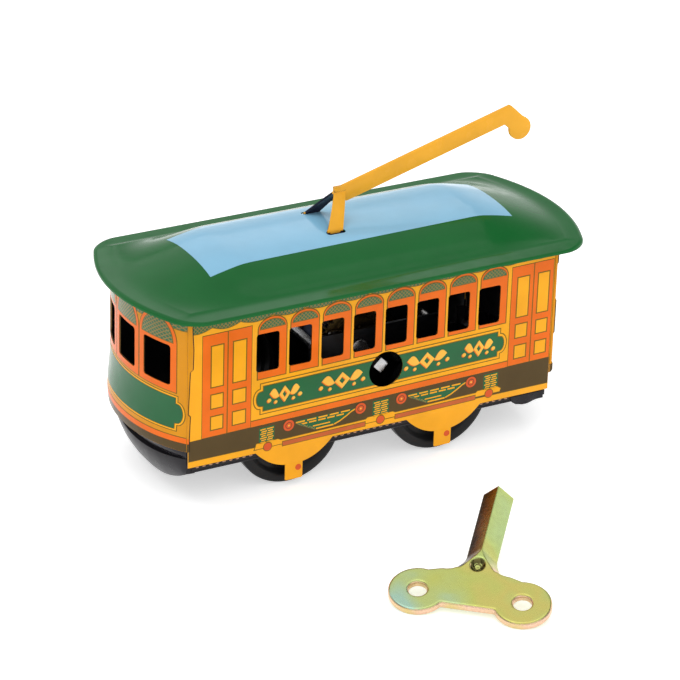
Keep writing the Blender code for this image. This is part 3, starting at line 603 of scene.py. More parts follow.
def side_surface(side, along=1):
    """A side's outer face. u runs along the trolley, or back along it where along is -1."""
    return lambda u, v, w: Vector((along * u, side * (HALF_Y + w), v))


def end_plan(y):
    return sqrt(max(END_RADIUS ** 2 - y ** 2, 0)) - (END_RADIUS - END_BOW)


def end_surface(direction):
    """The outer face of a bowed end. u runs to the right as seen from outside."""
    def surface(u, v, w):
        y = direction * u
        swell = exp(-((v - SWELL_Z) / SWELL_REACH) ** 2) * (1 - (y / HALF_Y) ** 4)
        x = HALF_LENGTH + end_plan(y) + swell
        turn = asin(y / END_RADIUS)
        return Vector((BODY_X + direction * (x + w * cos(turn)), y + w * sin(turn), v))
    return surface


def dome_shape(x, y):
    """How far the stamped dome rises at a point, below zero outside it."""
    across = 1 - abs(y / DOME_HALF) ** DOME_FULLNESS
    reach = ROOF_CORNER_X - FLANGE + ROOF_BOW * (1 - (y / ROOF_HALF) ** 2)
    along = min((reach - abs(x)) / DOME_END, 1)
    end = 1 - (1 - along) ** DOME_END_FULLNESS
    if across > 0 and end > 0:
        return DOME_RISE * across * end
    return DOME_RISE * min(across, end)


def roof_height(x, y):
    """The roof's top at a point, with a soft crease where the dome meets the flange."""
    soft = 0.34
    steep = 20
    lift = dome_shape(x, y) / soft
    rise = lift if lift > steep else log1p(exp(max(lift, -steep)))
    across = min(max((ROOF_HALF - abs(y)) / FLANGE, 0), 1)
    return FLANGE_Z - 0.02 + CREASE_RISE * across * 0.6 + soft * rise


def roof_surface(u, v, w):
    return Vector((u, v, roof_height(u, v) + w))


# ---------------- side print

def slanted(loop):
    return [(u, v + SLANT * u) for u, v in loop]


def add_ink(shapes, ink, level, *loops):
    """Adds a shape of the side print, with the print's slight slant. Loops after the first are holes."""
    shapes.append((ink, level, [slanted(loop) for loop in loops]))


def framed_board(outline, yellow_inset, olive_inset, green_inset):
    """A green board inside a frame of olive and yellow lines."""
    rings = (("olive", 2, 0), ("yellow", 3, yellow_inset), ("olive", 4, olive_inset),
             ("board_green", 5, green_inset))
    return [(ink, level, [inset_loop(outline, inset)]) for ink, level, inset in rings]


def side_holes():
    return [rounded_rect((x, WINDOW_Z), WINDOW_SIZE, WINDOW_CORNER) for x in WINDOWS_X]


def window_frame(hole_x, grow):
    """An arched window's frame. The hole eats into its left edge, so the outline runs round the hole."""
    centre, half = hole_x + FRAME_SHIFT, 3.02 + grow
    left, sill, spring = centre - half, 25.5 - grow, 36.05
    outside = [(left, sill), (centre + half, sill)] + half_ellipse((centre, spring), half, 2.3 + grow)
    hole_left, corner = hole_x - WINDOW_SIZE[0] / 2, WINDOW_CORNER
    low, high = WINDOW_Z - WINDOW_SIZE[1] / 2, WINDOW_Z + WINDOW_SIZE[1] / 2
    into = sqrt(max(corner ** 2 - (hole_left + corner - left) ** 2, 0))
    around = rounded_rect((hole_x, WINDOW_Z), WINDOW_SIZE, corner)[::-1]
    start = next(i for i, point in enumerate(around) if point[0] > left >= around[i - 1][0])
    around = [point for point in around[start:] + around[:start] if point[0] > left + 1e-4]
    return slanted(outside) + [(left, high - corner + into)] + around + [(left, low + corner - into)]


def valance(left, right, grow):
    """The green trim under the eave, with round drops between points."""
    points = []
    steps = int((right - left) / 0.25)
    for i in range(steps + 1):
        u = left + (right - left) * i / steps
        turn = (u + 36.85) / 6.1 if u < -30.45 else (u + 23.88) / WINDOW_PITCH
        depth = VALANCE_DEPTH * abs(sin(pi * turn))
        points.append((u, 38.82 - depth - grow + SLANT * u))
    return points + [(right, TRIM_TOP), (left, TRIM_TOP)]


def door(shapes, leaves, panel_columns):
    for left, right in leaves:
        add_ink(shapes, "olive", 2, rect(left, BAND_TOP, right, 37.42))
        add_ink(shapes, "orange", 3, rect(left + 0.12, 15.5, right - 0.12, 37.28))
    for left, right in panel_columns:
        for low, high in ((16.7, 19.9), (21.3, 24.6), (25.9, 35.0)):
            add_ink(shapes, "olive", 4, rect(left, low, right, high))
            add_ink(shapes, "yellow", 5, grown_rect((left, low, right, high), -0.24))


def ornament(shapes, x, size):
    """A lozenge between two leaves and four dots, with an orange shadow."""
    for ink, level, u, v in (("orange", 6, x - 0.16, BOARD_Z - 0.12), ("gold", 7, x, BOARD_Z)):
        add_ink(shapes, ink, level, lozenge((u, v), 0.17 * size, 1.75), lozenge((u, v), 0.07 * size, 0.8))
        for side in (-1, 1):
            add_ink(shapes, ink, level, leaf((u + side * 0.31 * size, v), (0.28 * size, 2.7), side))
            add_ink(shapes, ink, level, disc((u + side * 0.47 * size, v - 0.75), 0.42, 12))
            add_ink(shapes, ink, level, disc((u + side * 0.27 * size, v - 1.35), 0.34, 12))


def board_shapes():
    shapes = []
    for ink, level, loops in framed_board(plaque(-27.86, 29.32, 17.66, 24.5, 1.15, 1.5), 0.2, 0.62, 0.8):
        add_ink(shapes, ink, level, *loops)
    return shapes


def ring_disc(shapes, x):
    for ink, level, radius in (("brown", 5, 1.28), ("disc_orange", 6, 1.18), ("brown", 7, 0.72),
                               ("disc_orange", 8, 0.58), ("gold", 9, 0.2)):
        add_ink(shapes, ink, level, disc((x, RING_Z), radius, 24))


def truck_print(shapes, x):
    """One truck, drawn from its left ring: rings, a queen-post truss and the equaliser bar."""
    ring_disc(shapes, x)
    ring_disc(shapes, x + 16.0)
    field = [(x + 1.5, 14.5), (x + 2.6, 13.4), (x + 6.1, 11.75), (x + 10.1, 11.75), (x + 13.0, 12.9),
             (x + 14.7, 14.2)]
    add_ink(shapes, "board_green", 2, field)
    dashes = 5
    for low in (13.95, 13.4):
        start, end = x + 1.5 + (14.0 - low) * 1.6, x + 14.2 - (14.0 - low) * 2.6
        for i in range(dashes):
            left = start + (end - start) * i / dashes
            right = start + (end - start) * (i + 0.8) / dashes
            add_ink(shapes, "yellow", 3, rect(left, low, right, low + 0.3))
    add_ink(shapes, "yellow", 3, rect(x + 6.1, 11.6, x + 10.0, 11.92))
    add_ink(shapes, "yellow", 3, rect(x + 5.4, 12.35, x + 9.2, 12.6))
    brace = [(x + 10.15, 11.8), (x + 11.4, 12.25), (x + 12.8, 13.0), (x + 14.0, 13.75), (x + 14.9, 14.1)]
    add_ink(shapes, "yellow", 4, stroke(brace, 0.26))
    add_ink(shapes, "lattice", 4, stroke([(x + 1.9, 13.9), (x + 3.6, 13.0), (x + 6.0, 11.75)], 0.4))
    bar = (x - 1.25, 9.75, x + 17.1, 10.62)
    add_ink(shapes, "olive", 4, grown_rect(bar, 0.14))
    add_ink(shapes, "red_brown", 5, rect(*bar))


def spring_stack(shapes, left, right):
    """A coil spring, drawn as seven rows of two slanting bars."""
    add_ink(shapes, "board_green", 2, rect(left - 0.1, 11.2, right + 0.1, 14.75))
    for i in range(7):
        low = 11.35 + 0.47 * i
        odd = i % 2
        middle = (left + right) / 2 + 0.15 * (i % 3 - 1)
        for start, end in ((left + 0.15 + 0.25 * odd, middle - 0.12),
                           (middle + 0.12, right - 0.1 - 0.2 * odd)):
            bar = [(start, low), (end, low + 0.05), (end, low + 0.3), (start, low + 0.24)]
            add_ink(shapes, "yellow", 3, bar)


def side_shapes(left, right, legs):
    """Every ink shape on a side, except the name board."""
    shapes = [("brown", 1, [[(left, BAND_LOW), (right, BAND_LOW), (right, BAND_TOP + SLANT * right),
                             (left, BAND_TOP + SLANT * left)]]),
              ("olive", 2, [rect(left, BAND_LOW - 0.08, right, BAND_LOW + 0.06)])]
    add_ink(shapes, "olive", 1, rect(-28.2, 16.5, 29.7, 16.82))
    add_ink(shapes, "orange", 2, rect(-28.2, 15.44, 29.7, 16.62))
    shapes.append(("olive", 1, [valance(left, right, 0.14)]))
    shapes.append(("lattice", 2, [valance(left + 0.05, right - 0.05, 0)]))
    door(shapes, ((-38.9, -33.4), (-33.4, -28.2)), ((-37.1, -34.2), (-32.4, -29.3)))
    door(shapes, ((29.7, 34.9), (34.9, min(39.8, right - 0.05))), ((31.0, 34.0), (35.8, 38.7)))
    for hole_x in WINDOWS_X:
        shapes.append(("olive", 3, [window_frame(hole_x, 0.2)]))
        shapes.append(("orange", 4, [window_frame(hole_x, 0)]))
        add_ink(shapes, "olive", 5, half_ellipse((hole_x + FRAME_SHIFT, 35.98), 2.8, 1.98))
        add_ink(shapes, "lattice", 6, half_ellipse((hole_x + FRAME_SHIFT, 36.1), 2.64, 1.72))
    beam = [(-27.3, 10.25), (28.2, 10.25), (28.4, 10.9), (27.6, 11.45), (23.0, 11.45), (22.6, 11.12),
            (4.0, 11.12), (3.5, 11.45), (-2.2, 11.45), (-2.6, 11.12), (-21.6, 11.12), (-22.2, 11.45),
            (-26.9, 11.45)]
    add_ink(shapes, "olive", 2, inset_loop(beam, -0.16))
    add_ink(shapes, "yellow", 3, beam)
    for x in (-19.88, 5.34):
        truck_print(shapes, x)
    for start, end in ((-26.26, -23.1), (-1.03, 2.43), (24.39, 27.53)):
        spring_stack(shapes, start, end)
    for x in (-24.45, 0.7, 25.69):
        add_ink(shapes, "olive", 5, disc((x, 10.35), 1.0, 24))
        add_ink(shapes, "disc_orange", 6, disc((x, 10.35), 0.86, 24))
    for x, size in ((-20.9, 7.2), (22.8, 7.2), (-8.2, 10.0), (10.9, 10.0)):
        ornament(shapes, x, size)
    for x in legs:
        shapes.append(("disc_orange", 2, [disc((x + 0.97, 3.84), 0.66, 20)]))
    return shapes


def plate(loops, low, high, rounding=0.0):
    bm = bmesh.new()
    prism(bm, loops, low, high, rounding)
    return bm


def print_mesh(shapes, holes=()):
    """The ink shapes as thin plates, with the holes punched through them."""
    bm = bmesh.new()
    for ink, level, loops in shapes:
        layer = plate(loops, -SINK, LEVEL * level)
        for hole in holes:
            layer = combined(layer, plate([hole], -2, 2), "DIFFERENCE")
        for face in layer.faces:
            face.material_index = INK_ORDER.index(ink)
        append(bm, layer)
    return bm


def pedestal(centre_x):
    """A truck pedestal's lower edge from left to right: a bowl with a leg."""
    steps = 28
    left = []
    for i in range(steps + 1):
        offset = -PEDESTAL_HALF + (PEDESTAL_HALF - LEG_HALF) * i / steps
        left.append((offset, SIDE_BOTTOM - PEDESTAL_DEPTH * (1 - abs(offset / PEDESTAL_HALF) ** 2.3)))
    left += arc((-LEG_HALF + 0.35, LEG_BOTTOM + 0.35), (0.35, 0.35), 180, 270, 5)
    right = [(-x, z) for x, z in reversed(left)]
    return [(centre_x + x, z) for x, z in left + right]


def side_outline(legs):
    left, right = BODY_X - HALF_LENGTH + SHEET, BODY_X + HALF_LENGTH - SHEET
    points = [(left, BODY_TOP), (left, SIDE_BOTTOM)]
    for x in legs:
        points += pedestal(x)
    return points + [(right, SIDE_BOTTOM), (right, BODY_TOP)]


def add_panel(name, shell, ink, surface, paint):
    """A printed panel: its shell, with its inner face in near-black painted shade and its cut edges in their
    own colour, and the inks on it.
    """
    # Inner faces take the near-black painted shade; faces across the sheet are cut edges.
    for face in shell.faces:
        heights = [vert.co.z for vert in face.verts]
        if max(heights) < 0.01 - SHEET:
            face.material_index = 1
        elif min(heights) < 0.01 - SHEET:
            face.material_index = 2
    for bm in (shell, ink):
        bend(bm, surface)
    add_piece(f"{name}_shell", shell, [paint, painted_shade_dark, cut_edge], replaces=[name])
    add_piece(f"{name}_print", ink, INK.values())


def make_side(name, surface, turned, extra_holes):
    """A printed side. Where it is turned, u runs back along the trolley."""
    legs = (FRONT_AXLE_X, REAR_AXLE_X)
    outline = side_outline(legs)
    if turned:
        outline = [(-x, z) for x, z in outline]
        legs = (-REAR_AXLE_X, -FRONT_AXLE_X)
    left, right = min(x for x, _ in outline), max(x for x, _ in outline)
    shell = plate([outline, *side_holes(), *extra_holes], -SHEET, 0, 0.06)
    ink = print_mesh(side_shapes(left + 0.08, right - 0.08, legs))
    append(ink, print_mesh(board_shapes(), extra_holes))
    add_panel(name, shell, ink, surface, INK["yellow"])


# ---------------- ends

def end_frame(centre, grow):
    half, sill, spring = 4.87 + grow, 24.6 - grow, 34.9
    outside = [(centre - half, sill), (centre + half, sill)]
    return outside + half_ellipse((centre, spring), half, 5.4 + grow)


def end_holes():
    return [rounded_rect((x, END_WINDOW_Z), END_WINDOW_SIZE, WINDOW_CORNER) for x in END_WINDOWS_X]


def end_shapes():
    edge = HALF_Y - 0.06
    shapes = [("brown", 1, [rect(-edge, END_BOTTOM + 0.06, edge, END_BAND_TOP)]),
              ("olive", 1, [rect(-edge, END_BAND_TOP, edge, 15.62)]),
              ("orange", 2, [rect(-edge, END_BAND_TOP + 0.02, edge, END_TRIM_TOP)])]
    for centre, hole in zip(END_WINDOWS_X, end_holes()):
        shapes += [("olive", 3, [end_frame(centre, 0.16), hole]),
                   ("orange", 4, [end_frame(centre, 0), hole]),
                   ("olive", 5, [half_ellipse((centre, 34.85), 4.2, 4.85)]),
                   ("lattice", 6, [half_ellipse((centre, 35.0), 4.02, 4.55)])]
    drops = []
    steps = 120
    for i in range(steps + 1):
        u = -edge + 2 * edge * i / steps
        drops.append((u, 38.9 - VALANCE_DEPTH * abs(sin(pi * u / END_WINDOW_PITCH))))
    top = [(edge, TRIM_TOP), (-edge, TRIM_TOP)]
    shapes += [("olive", 1, [[(u, v - 0.14) for u, v in drops] + top]), ("lattice", 2, [drops + top])]
    return shapes + framed_board(plaque(-16.95, 16.95, 16.5, 24.05, 1.25, 1.5), 0.17, 0.46, 0.58)


def wrap_outline(z_low, z_high, grow=0.0):
    """The end panel's flange where it laps onto a side, with its stepped edge."""
    steps = [(-41.55, 12.5), (-41.6, 15.6), (-41.4, 20.1), (-41.88, 20.65), (-41.5, 29.55), (-40.9, 30.05),
             (-40.8, 34.2), (-41.05, 38.1), (-41.05, BODY_TOP)]
    edge = []
    for (x0, z0), (x1, z1) in zip(steps, steps[1:]):
        for z in sorted({max(z0, z_low), min(z1, z_high)}):
            if z0 <= z <= z1 and z_low <= z <= z_high:
                point = (x0 + (x1 - x0) * (z - z0) / (z1 - z0) + grow, z)
                if not edge or abs(edge[-1][1] - z) > 1e-6:
                    edge.append(point)
    return [(-42.0, z_low)] + edge + [(-42.0, z_high)]


def make_end(name, direction):
    strips = [HALF_Y * i / 24 for i in range(-23, 24)]
    levels = [12.9 + 0.9 * i for i in range(16)]
    shell = plate([rect(-HALF_Y, END_BOTTOM, HALF_Y, BODY_TOP), *end_holes()], -SHEET, 0, 0.06)
    ink = print_mesh(end_shapes())
    for bm in (shell, ink):
        slice_mesh(bm, strips, levels)
    add_panel(name, shell, ink, end_surface(direction), end_yellow_and_shade)


def make_wraps():
    """The front panel's flanges, lapped onto both sides."""
    lap = 0.13
    lap_top = BODY_TOP - 0.1
    for side, name in SIDES:
        bm = plate([wrap_outline(END_BOTTOM, lap_top)], -0.02, lap, 0.05)
        for slot, low, high in ((1, END_BOTTOM + 0.03, END_BAND_TOP), (2, END_BAND_TOP, END_TRIM_TOP)):
            prism(bm, [wrap_outline(low, high, -0.03)], 0, lap + LEVEL, slot=slot)
        # A near-black strip just outside the flange's stepped edge: a painted shadow gap.
        prism(bm, [wrap_outline(END_BOTTOM, lap_top, 0.2)], -0.02, 4.4 * LEVEL, slot=3)
        bend(bm, side_surface(side))
        paints = [end_yellow_and_shade, INK["brown"], INK["orange"], painted_shade_dark]
        add_piece(f"end_flange_{name}", bm, paints)


def make_rear_seams():
    """The rear corners: a narrow rolled edge with the end panel's folded tabs beside it."""
    corner = BODY_X + HALF_LENGTH
    for side, name in SIDES:
        bm = plate([rect(corner - 0.2, END_BOTTOM + 2.0, corner + 0.34, BODY_TOP - 0.1)], -0.4, 0.1, 0.09)
        for low, high in ((END_BOTTOM, 15.3), (21.0, 29.4), (36.4, 39.6)):
            tab = [(corner, low), (corner + 0.35, low), (corner + 0.72, low + 0.5),
                   (corner + 0.72, high - 0.9), (corner + 0.3, high), (corner, high)]
            prism(bm, [tab], -0.6, -0.12, 0.06, 1)
        bend(bm, side_surface(side))
        add_piece(f"rear_seam_{name}", bm, [end_yellow_and_shade, INK["brown"]])


# ---------------- roof

def bowed_edge(half, corner_x, corner, y):
    reach = corner_x + ROOF_BOW * (1 - (y / half) ** 2)
    into = abs(y) - (half - corner)
    if into > 0:
        reach -= corner - sqrt(max(corner ** 2 - into ** 2, 0))
    return reach


def roof_plan(s, t, inset):
    half = ROOF_HALF - inset
    y = half * t
    return s * bowed_edge(half, ROOF_CORNER_X - inset, max(ROOF_CORNER - 0.4 * inset, 1.2), y), y


def both_ways(values):
    return [-v for v in reversed(values) if v > 0] + values


def slot_outline(side):
    return rounded_rect((FOOT_X, side * SLOT_Y), SLOT_SIZE, SLOT_CORNER)


def make_roof():
    """A stamped dome with a soft crease, a flat flange and a rolled lip."""
    across = both_ways([0.8 * i / 18 for i in range(18)]
                       + [0.8 + 0.2 * sin(pi * i / 56) for i in range(29)])
    along = both_ways([0.55 * i / 12 for i in range(12)] + [0.55 + 0.33 * i / 20 for i in range(20)]
                      + [0.88 + 0.07 * i / 14 for i in range(14)] + [0.95 + 0.05 * i / 5 for i in range(6)])
    flat_inset = 0.42
    rows = []
    for t in across:
        row = [roof_plan(s, t, flat_inset) for s in along]
        rows.append([(x, y, roof_height(x, y)) for x, y in row])
    bm = bmesh.new()
    grid = grid_faces(bm, rows)
    rim = [(s, -1) for s in along] + [(1, t) for t in across[1:]]
    rim += [(s, 1) for s in reversed(along[:-1])] + [(-1, t) for t in reversed(across[1:-1])]
    ring = grid[0] + [row[-1] for row in grid[1:]] + grid[-1][-2::-1] + [row[0] for row in grid[-2:0:-1]]
    lip = [(0.28, -0.03), (0.15, -0.09), (0.05, -0.19), (0.0, -0.33), (0.0, EAVE_Z - FLANGE_Z)]
    join_rings(bm, [ring] + [[bm.verts.new((*roof_plan(s, t, inset), FLANGE_Z + drop)) for s, t in rim]
                             for inset, drop in lip])
    face_towards(bm, (0, 0, 1))
    bm = thickened(bm, SHEET)
    # Underside and inward faces take the near-black painted shade.
    for face in bm.faces:
        inwards = face.normal.dot(face.calc_center_median()) < 0
        if face.normal.z < -0.02 or (abs(face.normal.z) <= 0.3 and inwards):
            face.material_index = 1
    slots = [slot_outline(side) for side in (-1, 1)]
    for slot in slots:
        bm = combined(bm, plate([slot], EAVE_Z, EAVE_Z + 10), "DIFFERENCE")
    add_piece("roof_shell", bm, [roof_paint, painted_shade_dark], replaces=["roof"], sharp=50)
    panel = plate([[(-33.5, -9.5), (34.3, -8.7), (34.3, 9.3), (-33.5, 9.9)], *slots], -0.06, 0.03)
    slice_mesh(panel, [-33 + 1.5 * i for i in range(45)], [-9.6 + 0.8 * i for i in range(25)])
    bend(panel, roof_surface)
    add_piece("roof_blue_panel", panel, [blue_paint], sharp=50)


# ---------------- trolley pole

def make_pole():
    """The arm with its hooked head, and two strip legs.

    The legs' feet pass through the roof and fold over under it.
    """
    root_x, root_z = -1.9, 53.75
    tip_x, tip_z = 37.8, 65.0
    slope = (tip_z - root_z) / (tip_x - root_x)
    outline = [(root_x, root_z - 0.4), (root_x + 0.4, root_z - 1.55)]
    outline += [(x, root_z + slope * (x - root_x) - 3.65) for x in (root_x + 2.8, tip_x - 1.1)]
    outline += arc((40.4, 59.7), (2.45, 2.45), 175, 432, 36)
    outline += [(tip_x + 0.35, 64.85), (tip_x, tip_z), (root_x + 0.35, root_z + 0.08)]
    bm = plate([outline], -0.4, 0.4, 0.14)
    bend(bm, upright)
    add_piece("pole_arm", bm, [pole_paint], replaces=["trolley_pole"])
    columns = 16
    bends = 22
    top_left, top_right, top_z, foot_z = -1.9, 0.75, 53.4, 47.4
    for side, name in SIDES:
        rows = []
        for i in range(bends + 1):
            q = -0.14 + 1.14 * i / bends
            down = max(q, 0)
            left = top_left + (FOOT_X - FOOT_HALF - top_left) * down ** 1.05
            right = top_right + (FOOT_X + FOOT_HALF - top_right) * down
            roll = 0.4 * sin(pi * down)
            y = side * (FOOT_Y * down ** 0.92 + 0.35 * (q < 0))
            rows.append([(left + (right - left) * j / columns,
                          y + side * roll * (1 - (2 * j / columns - 1) ** 2), top_z - (top_z - foot_z) * q)
                         for j in range(columns + 1)])
        for drop, out in ((0.3, 0), (0.6, 0), (1.1, 0), (1.7, 0.05), (2.0, 0.25), (2.15, 0.7), (2.2, 1.6),
                          (2.2, 3.0)):
            half = FOOT_HALF + 0.3 * min(out / 0.7, 1)
            rows.append([(FOOT_X - half + 2 * half * j / columns, side * (FOOT_Y + out), foot_z - drop)
                         for j in range(columns + 1)])
        bm = sheet_through(rows, (0, side, 0), 0.4)
        # Back faces take the dark back colour; the foot's rounded lower end takes it as painted shade at the
        # slot.
        for face in bm.faces:
            middle = face.calc_center_median()
            off = min(abs(middle.x - FOOT_X) / FOOT_HALF, 1)
            if face.normal.y * side < -0.3 or middle.z < 46.85 + 0.5 * (1 - sqrt(1 - off ** 2)):
                face.material_index = 1
        add_piece(f"pole_leg_{name}", bm, [pole_paint, pole_back_and_foot_shade])


# ---------------- chassis

def make_fender(name, direction):
    """An apron that hangs under a bowed end: an upright band, then a crease and a full rounded sweep."""
    swell = ((0, 0), (0.08, 0), (0.16, -0.05), (0.22, -0.35), (0.25, -0.55), (0.27, -0.5), (0.3, 0.42),
             (0.34, 0.6), (0.42, 0.8), (0.54, 0.92), (0.68, 0.9), (0.8, 0.72), (0.9, 0.42), (0.96, 0.2),
             (1, 0))
    columns, folded = 48, 3
    crease_z, low_x = 11.9, 40.6
    rows = []
    for height, down, bulge in [(13.4, 0, 0), (12.2, 0, 0)] + [(None, down, bulge) for down, bulge in swell]:
        row = []
        for column in range(-folded, columns + folded + 1):
            share = min(max(-1 + 2 * column / columns, -1), 1)
            crown = 1 - share ** 2
            past = max(-column, column - columns, 0) / folded
            y = share * (16.3 + 0.2 * past)
            low_z = 7.2 - 5.2 * crown
            top_x = HALF_LENGTH - 0.9 + end_plan(y)
            x = top_x + (low_x - top_x) * down ** 1.15 + bulge * crown ** 0.4 - 1.7 * past
            row.append((BODY_X + direction * x, y, height or crease_z + (low_z - crease_z) * down))
        rows.append(row)
    bm = sheet_through(rows, (direction, 0, 0), SHEET)
    add_piece(f"{name}_apron", bm, [black_enamel], replaces=[name], sharp=40)


def make_skirt_trim():
    """A rolled hem along each skirt, the small crimps that hold the base to the body, and a rear tab."""
    skirt_y = 16.62
    crimp_pitch = 1.45
    for side, name in SIDES:
        bm = bmesh.new()
        rod_mesh(bm, 0.24, (-40.2, side * 16.48, 7.62), (38.2, side * 16.48, 7.62), 14, 0.08)
        face_outwards(bm)
        add_piece(f"skirt_hem_{name}", bm, [black_enamel])
        bm = bmesh.new()
        x = -39.4
        while x < 38:
            if min(abs(x - FRONT_AXLE_X), abs(x - REAR_AXLE_X)) > 9:
                place = Matrix.Translation((x, side * skirt_y, 8.45)) @ Matrix.Diagonal((0.42, 0.16, 0.2, 1))
                bmesh.ops.create_uvsphere(bm, u_segments=12, v_segments=8, radius=1, matrix=place)
            x += crimp_pitch
        add_piece(f"skirt_crimps_{name}", bm, [crimp_metal])
        tab = [(31.0, 8.6), (31.6, 7.3), (32.6, 6.55), (33.9, 6.35), (36.4, 6.6), (38.9, 6.9), (38.9, 8.6)]
        bm = plate([tab], 0, 0.3, 0.08)
        slice_mesh(bm, [32 + 0.7 * i for i in range(10)])
        for vert in bm.verts:
            u, v, w = vert.co
            wave = 0.25 * sin(1.3 * u) * max(8.4 - v, 0) / 2
            vert.co = (u, side * (skirt_y + w + wave), v)
        face_outwards(bm)
        add_piece(f"skirt_tab_{name}", bm, [black_enamel])


# ---------------- wheels and winding arbor

def make_wheel(name, side, x, body):
    """A stamped wheel: a dished disc with a pressed ring, rolled at its tread."""
    profile = [(0.95, 0.9), (1.9, 0.9), (2.1, 0.6), (2.9, 0.6), (3.1, 0.9), (8.5, 0.9), (8.9, 0.8),
               (9.25, 0.25), (9.6, 0.08), (10.7, 0.0), (11.1, 0.06), (11.28, 0.2), (11.35, 0.42),
               (11.35, 2.5), (11.3, 2.6), (11.0, 2.6), (10.95, 2.5), (10.95, 0.8), (10.5, 0.46), (9.7, 0.5),
               (9.3, 0.7), (9.0, 1.2), (8.6, 1.3), (0.95, 1.3)]
    bm = bmesh.new()
    rings = [[bm.verts.new((u, side * (WHEEL_FACE_Y - depth), v))
              for u, v in disc((x, WHEEL_RADIUS), radius, 96)] for radius, depth in profile]
    join_rings(bm, rings + rings[:1])
    face_outwards(bm)
    add_piece(f"{name}_disc", bm, [wheel_paint], body, [name], sharp=50)


def make_arbor():
    """The winding arbor: a polished shaft with a chamfered square end."""
    bm = bmesh.new()
    rod_mesh(bm, 1.8, (ARBOR[0], -6.6, ARBOR[1]), (ARBOR[0], 6.6, ARBOR[1]))
    half, chamfer = 1.25, 0.07
    outline = disc(ARBOR, half * sqrt(2), 4)
    corners = []
    for i, (u, v) in enumerate(outline):
        for other_u, other_v in (outline[i - 1], outline[(i + 1) % 4]):
            corners.append((u + (other_u - u) * chamfer, v + (other_v - v) * chamfer))
    square = plate([corners], 5.5, 15.3, 0.25)
    bend(square, upright)
    face_outwards(bm)
    bm = combined(bm, square, "UNION")
    add_piece("winding_arbor_shaft", bm, [bright_steel], "winding_shaft", ["winding_arbor"])


# ---------------- key

def key_outline():
    neck = KEY_TUBE * 0.72
    lobe = arc((KEY_SPACING / 2, 0), (KEY_LOBE, KEY_LOBE), -150, 100, 60)
    right = lobe + [(neck + 3.6, 6.2), (neck + 2.4, 6.35), (neck + 1.5, 6.6), (neck + 0.8, 7.1)]
    return right + [(-x, y) for x, y in reversed(right)]


def square_tube(side, first, last):
    """A square bar along the key's stem, on one of its edges."""
    bm = plate([disc((0, 0), side / sqrt(2), 4)], first, last)
    bend(bm, lambda u, v, w: Vector((u, w, v + STEM_Z)))
    return bm


def key_fold_mesh():
    """The fold between the flat bow and the square stem."""
    reach = KEY_TUBE / sqrt(2)
    skin = 0.69
    first_y, last_y = 5.2, KEY_TUBE_START + 3.0
    first_half = 4.75
    steps = 12
    bm = bmesh.new()
    rings = []
    for step in range(steps + 1):
        along = step / steps
        drop = along * along * (3 - 2 * along)
        flat = max(4.6 * (1 - along) ** 1.3, 0.01)
        wide = first_half + (reach - first_half) * drop
        top = skin + KEY_RIDGE * drop
        low = -skin + (STEM_Z - reach + skin) * drop
        outline = [(wide, STEM_Z * drop), (flat, top), (-flat, top), (-wide, STEM_Z * drop), (-flat, low),
                   (flat, low)]
        y = first_y + (last_y - first_y) * along
        rings.append([bm.verts.new((x, y, z)) for x, z in outline])
    for lower, upper in zip(rings, rings[1:]):
        for i in range(6):
            bm.faces.new((lower[i], lower[i - 1], upper[i - 1], upper[i]))
    bm.faces.new(rings[0])
    bm.faces.new(rings[-1][::-1])
    bmesh.ops.triangulate(bm, faces=bm.faces)
    face_outwards(bm)
    return bm


def make_key():
    """A pressed key: a thick bow with rounded edges and two round holes, and a folded square stem."""
    holes = [disc((side * KEY_SPACING / 2, 0), KEY_HOLE, 40) for side in (-1, 1)]
    bm = plate([key_outline(), *holes], -KEY_SHEET / 2, KEY_SHEET / 2, 0.5)
    face_outwards(bm)
    bm = combined(bm, square_tube(KEY_TUBE, KEY_TUBE_START + 2.0, KEY_REACH), "UNION")
    bm = combined(bm, key_fold_mesh(), "UNION")
    bm = combined(bm, square_tube(KEY_BORE, KEY_TUBE_START + 6.5, KEY_REACH + 2), "DIFFERENCE")
    pressed = Vector((-0.05, 7.9, KEY_SHEET / 2 + 1.05))
    radius, stretch = 1.8, 1.2
    dimple = bmesh.new()
    bmesh.ops.create_uvsphere(dimple, u_segments=32, v_segments=20, radius=radius,
                              matrix=Matrix.Translation(pressed) @ Matrix.Diagonal((1, stretch, 1, 1)))
    obj = mesh_object("work", combined(bm, dimple, "DIFFERENCE"))
    remesh = obj.modifiers.new("Remesh", "REMESH")
    remesh.mode = "VOXEL"
    remesh.voxel_size = 0.16
    smooth = obj.modifiers.new("Smooth", "SMOOTH")
    smooth.factor = 0.5
    smooth.iterations = 7
    bm = evaluated(obj)
    for face in bm.faces:
        x, y, z = face.calc_center_median()
        off = hypot(x - pressed.x, (y - pressed.y) / stretch, z - pressed.z)
        # Left faces of the fold and stem take the painted shade.
        if face.normal.x < -0.2 and y > 6.9 and x < 0.1 and z > STEM_Z - 0.3:
            face.material_index = 1
        # Faces inside the dimple take its painted shade.
        elif off < radius - 0.02 and z < pressed.z:
            face.material_index = 3
        # The bow's rims and hole walls take the rose tint with its painted highlight.
        elif y < 8 and abs(face.normal.z) < 0.8:
            face.material_index = 2
    lean = atan2(KEY_TUBE * sqrt(2) - KEY_RIDGE - KEY_SHEET, KEY_TUBE_START + KEY_LOBE)
    lift = KEY_LOBE * sin(lean) + KEY_SHEET / 2 * cos(lean)
    place = (Matrix.Diagonal((MM, MM, MM, 1)) @ Matrix.Translation((KEY_X, KEY_Y, lift))
             @ Matrix.Rotation(KEY_YAW, 4, "Z") @ Matrix.Rotation(lean, 4, "X"))
    add_piece("key_pressing", bm, [key_plating, key_stem_shade, key_rim_rose_and_highlight, key_dimple_shade], "key",
              ["winding_key"], place, 60)


# ---------------- stage, light and camera

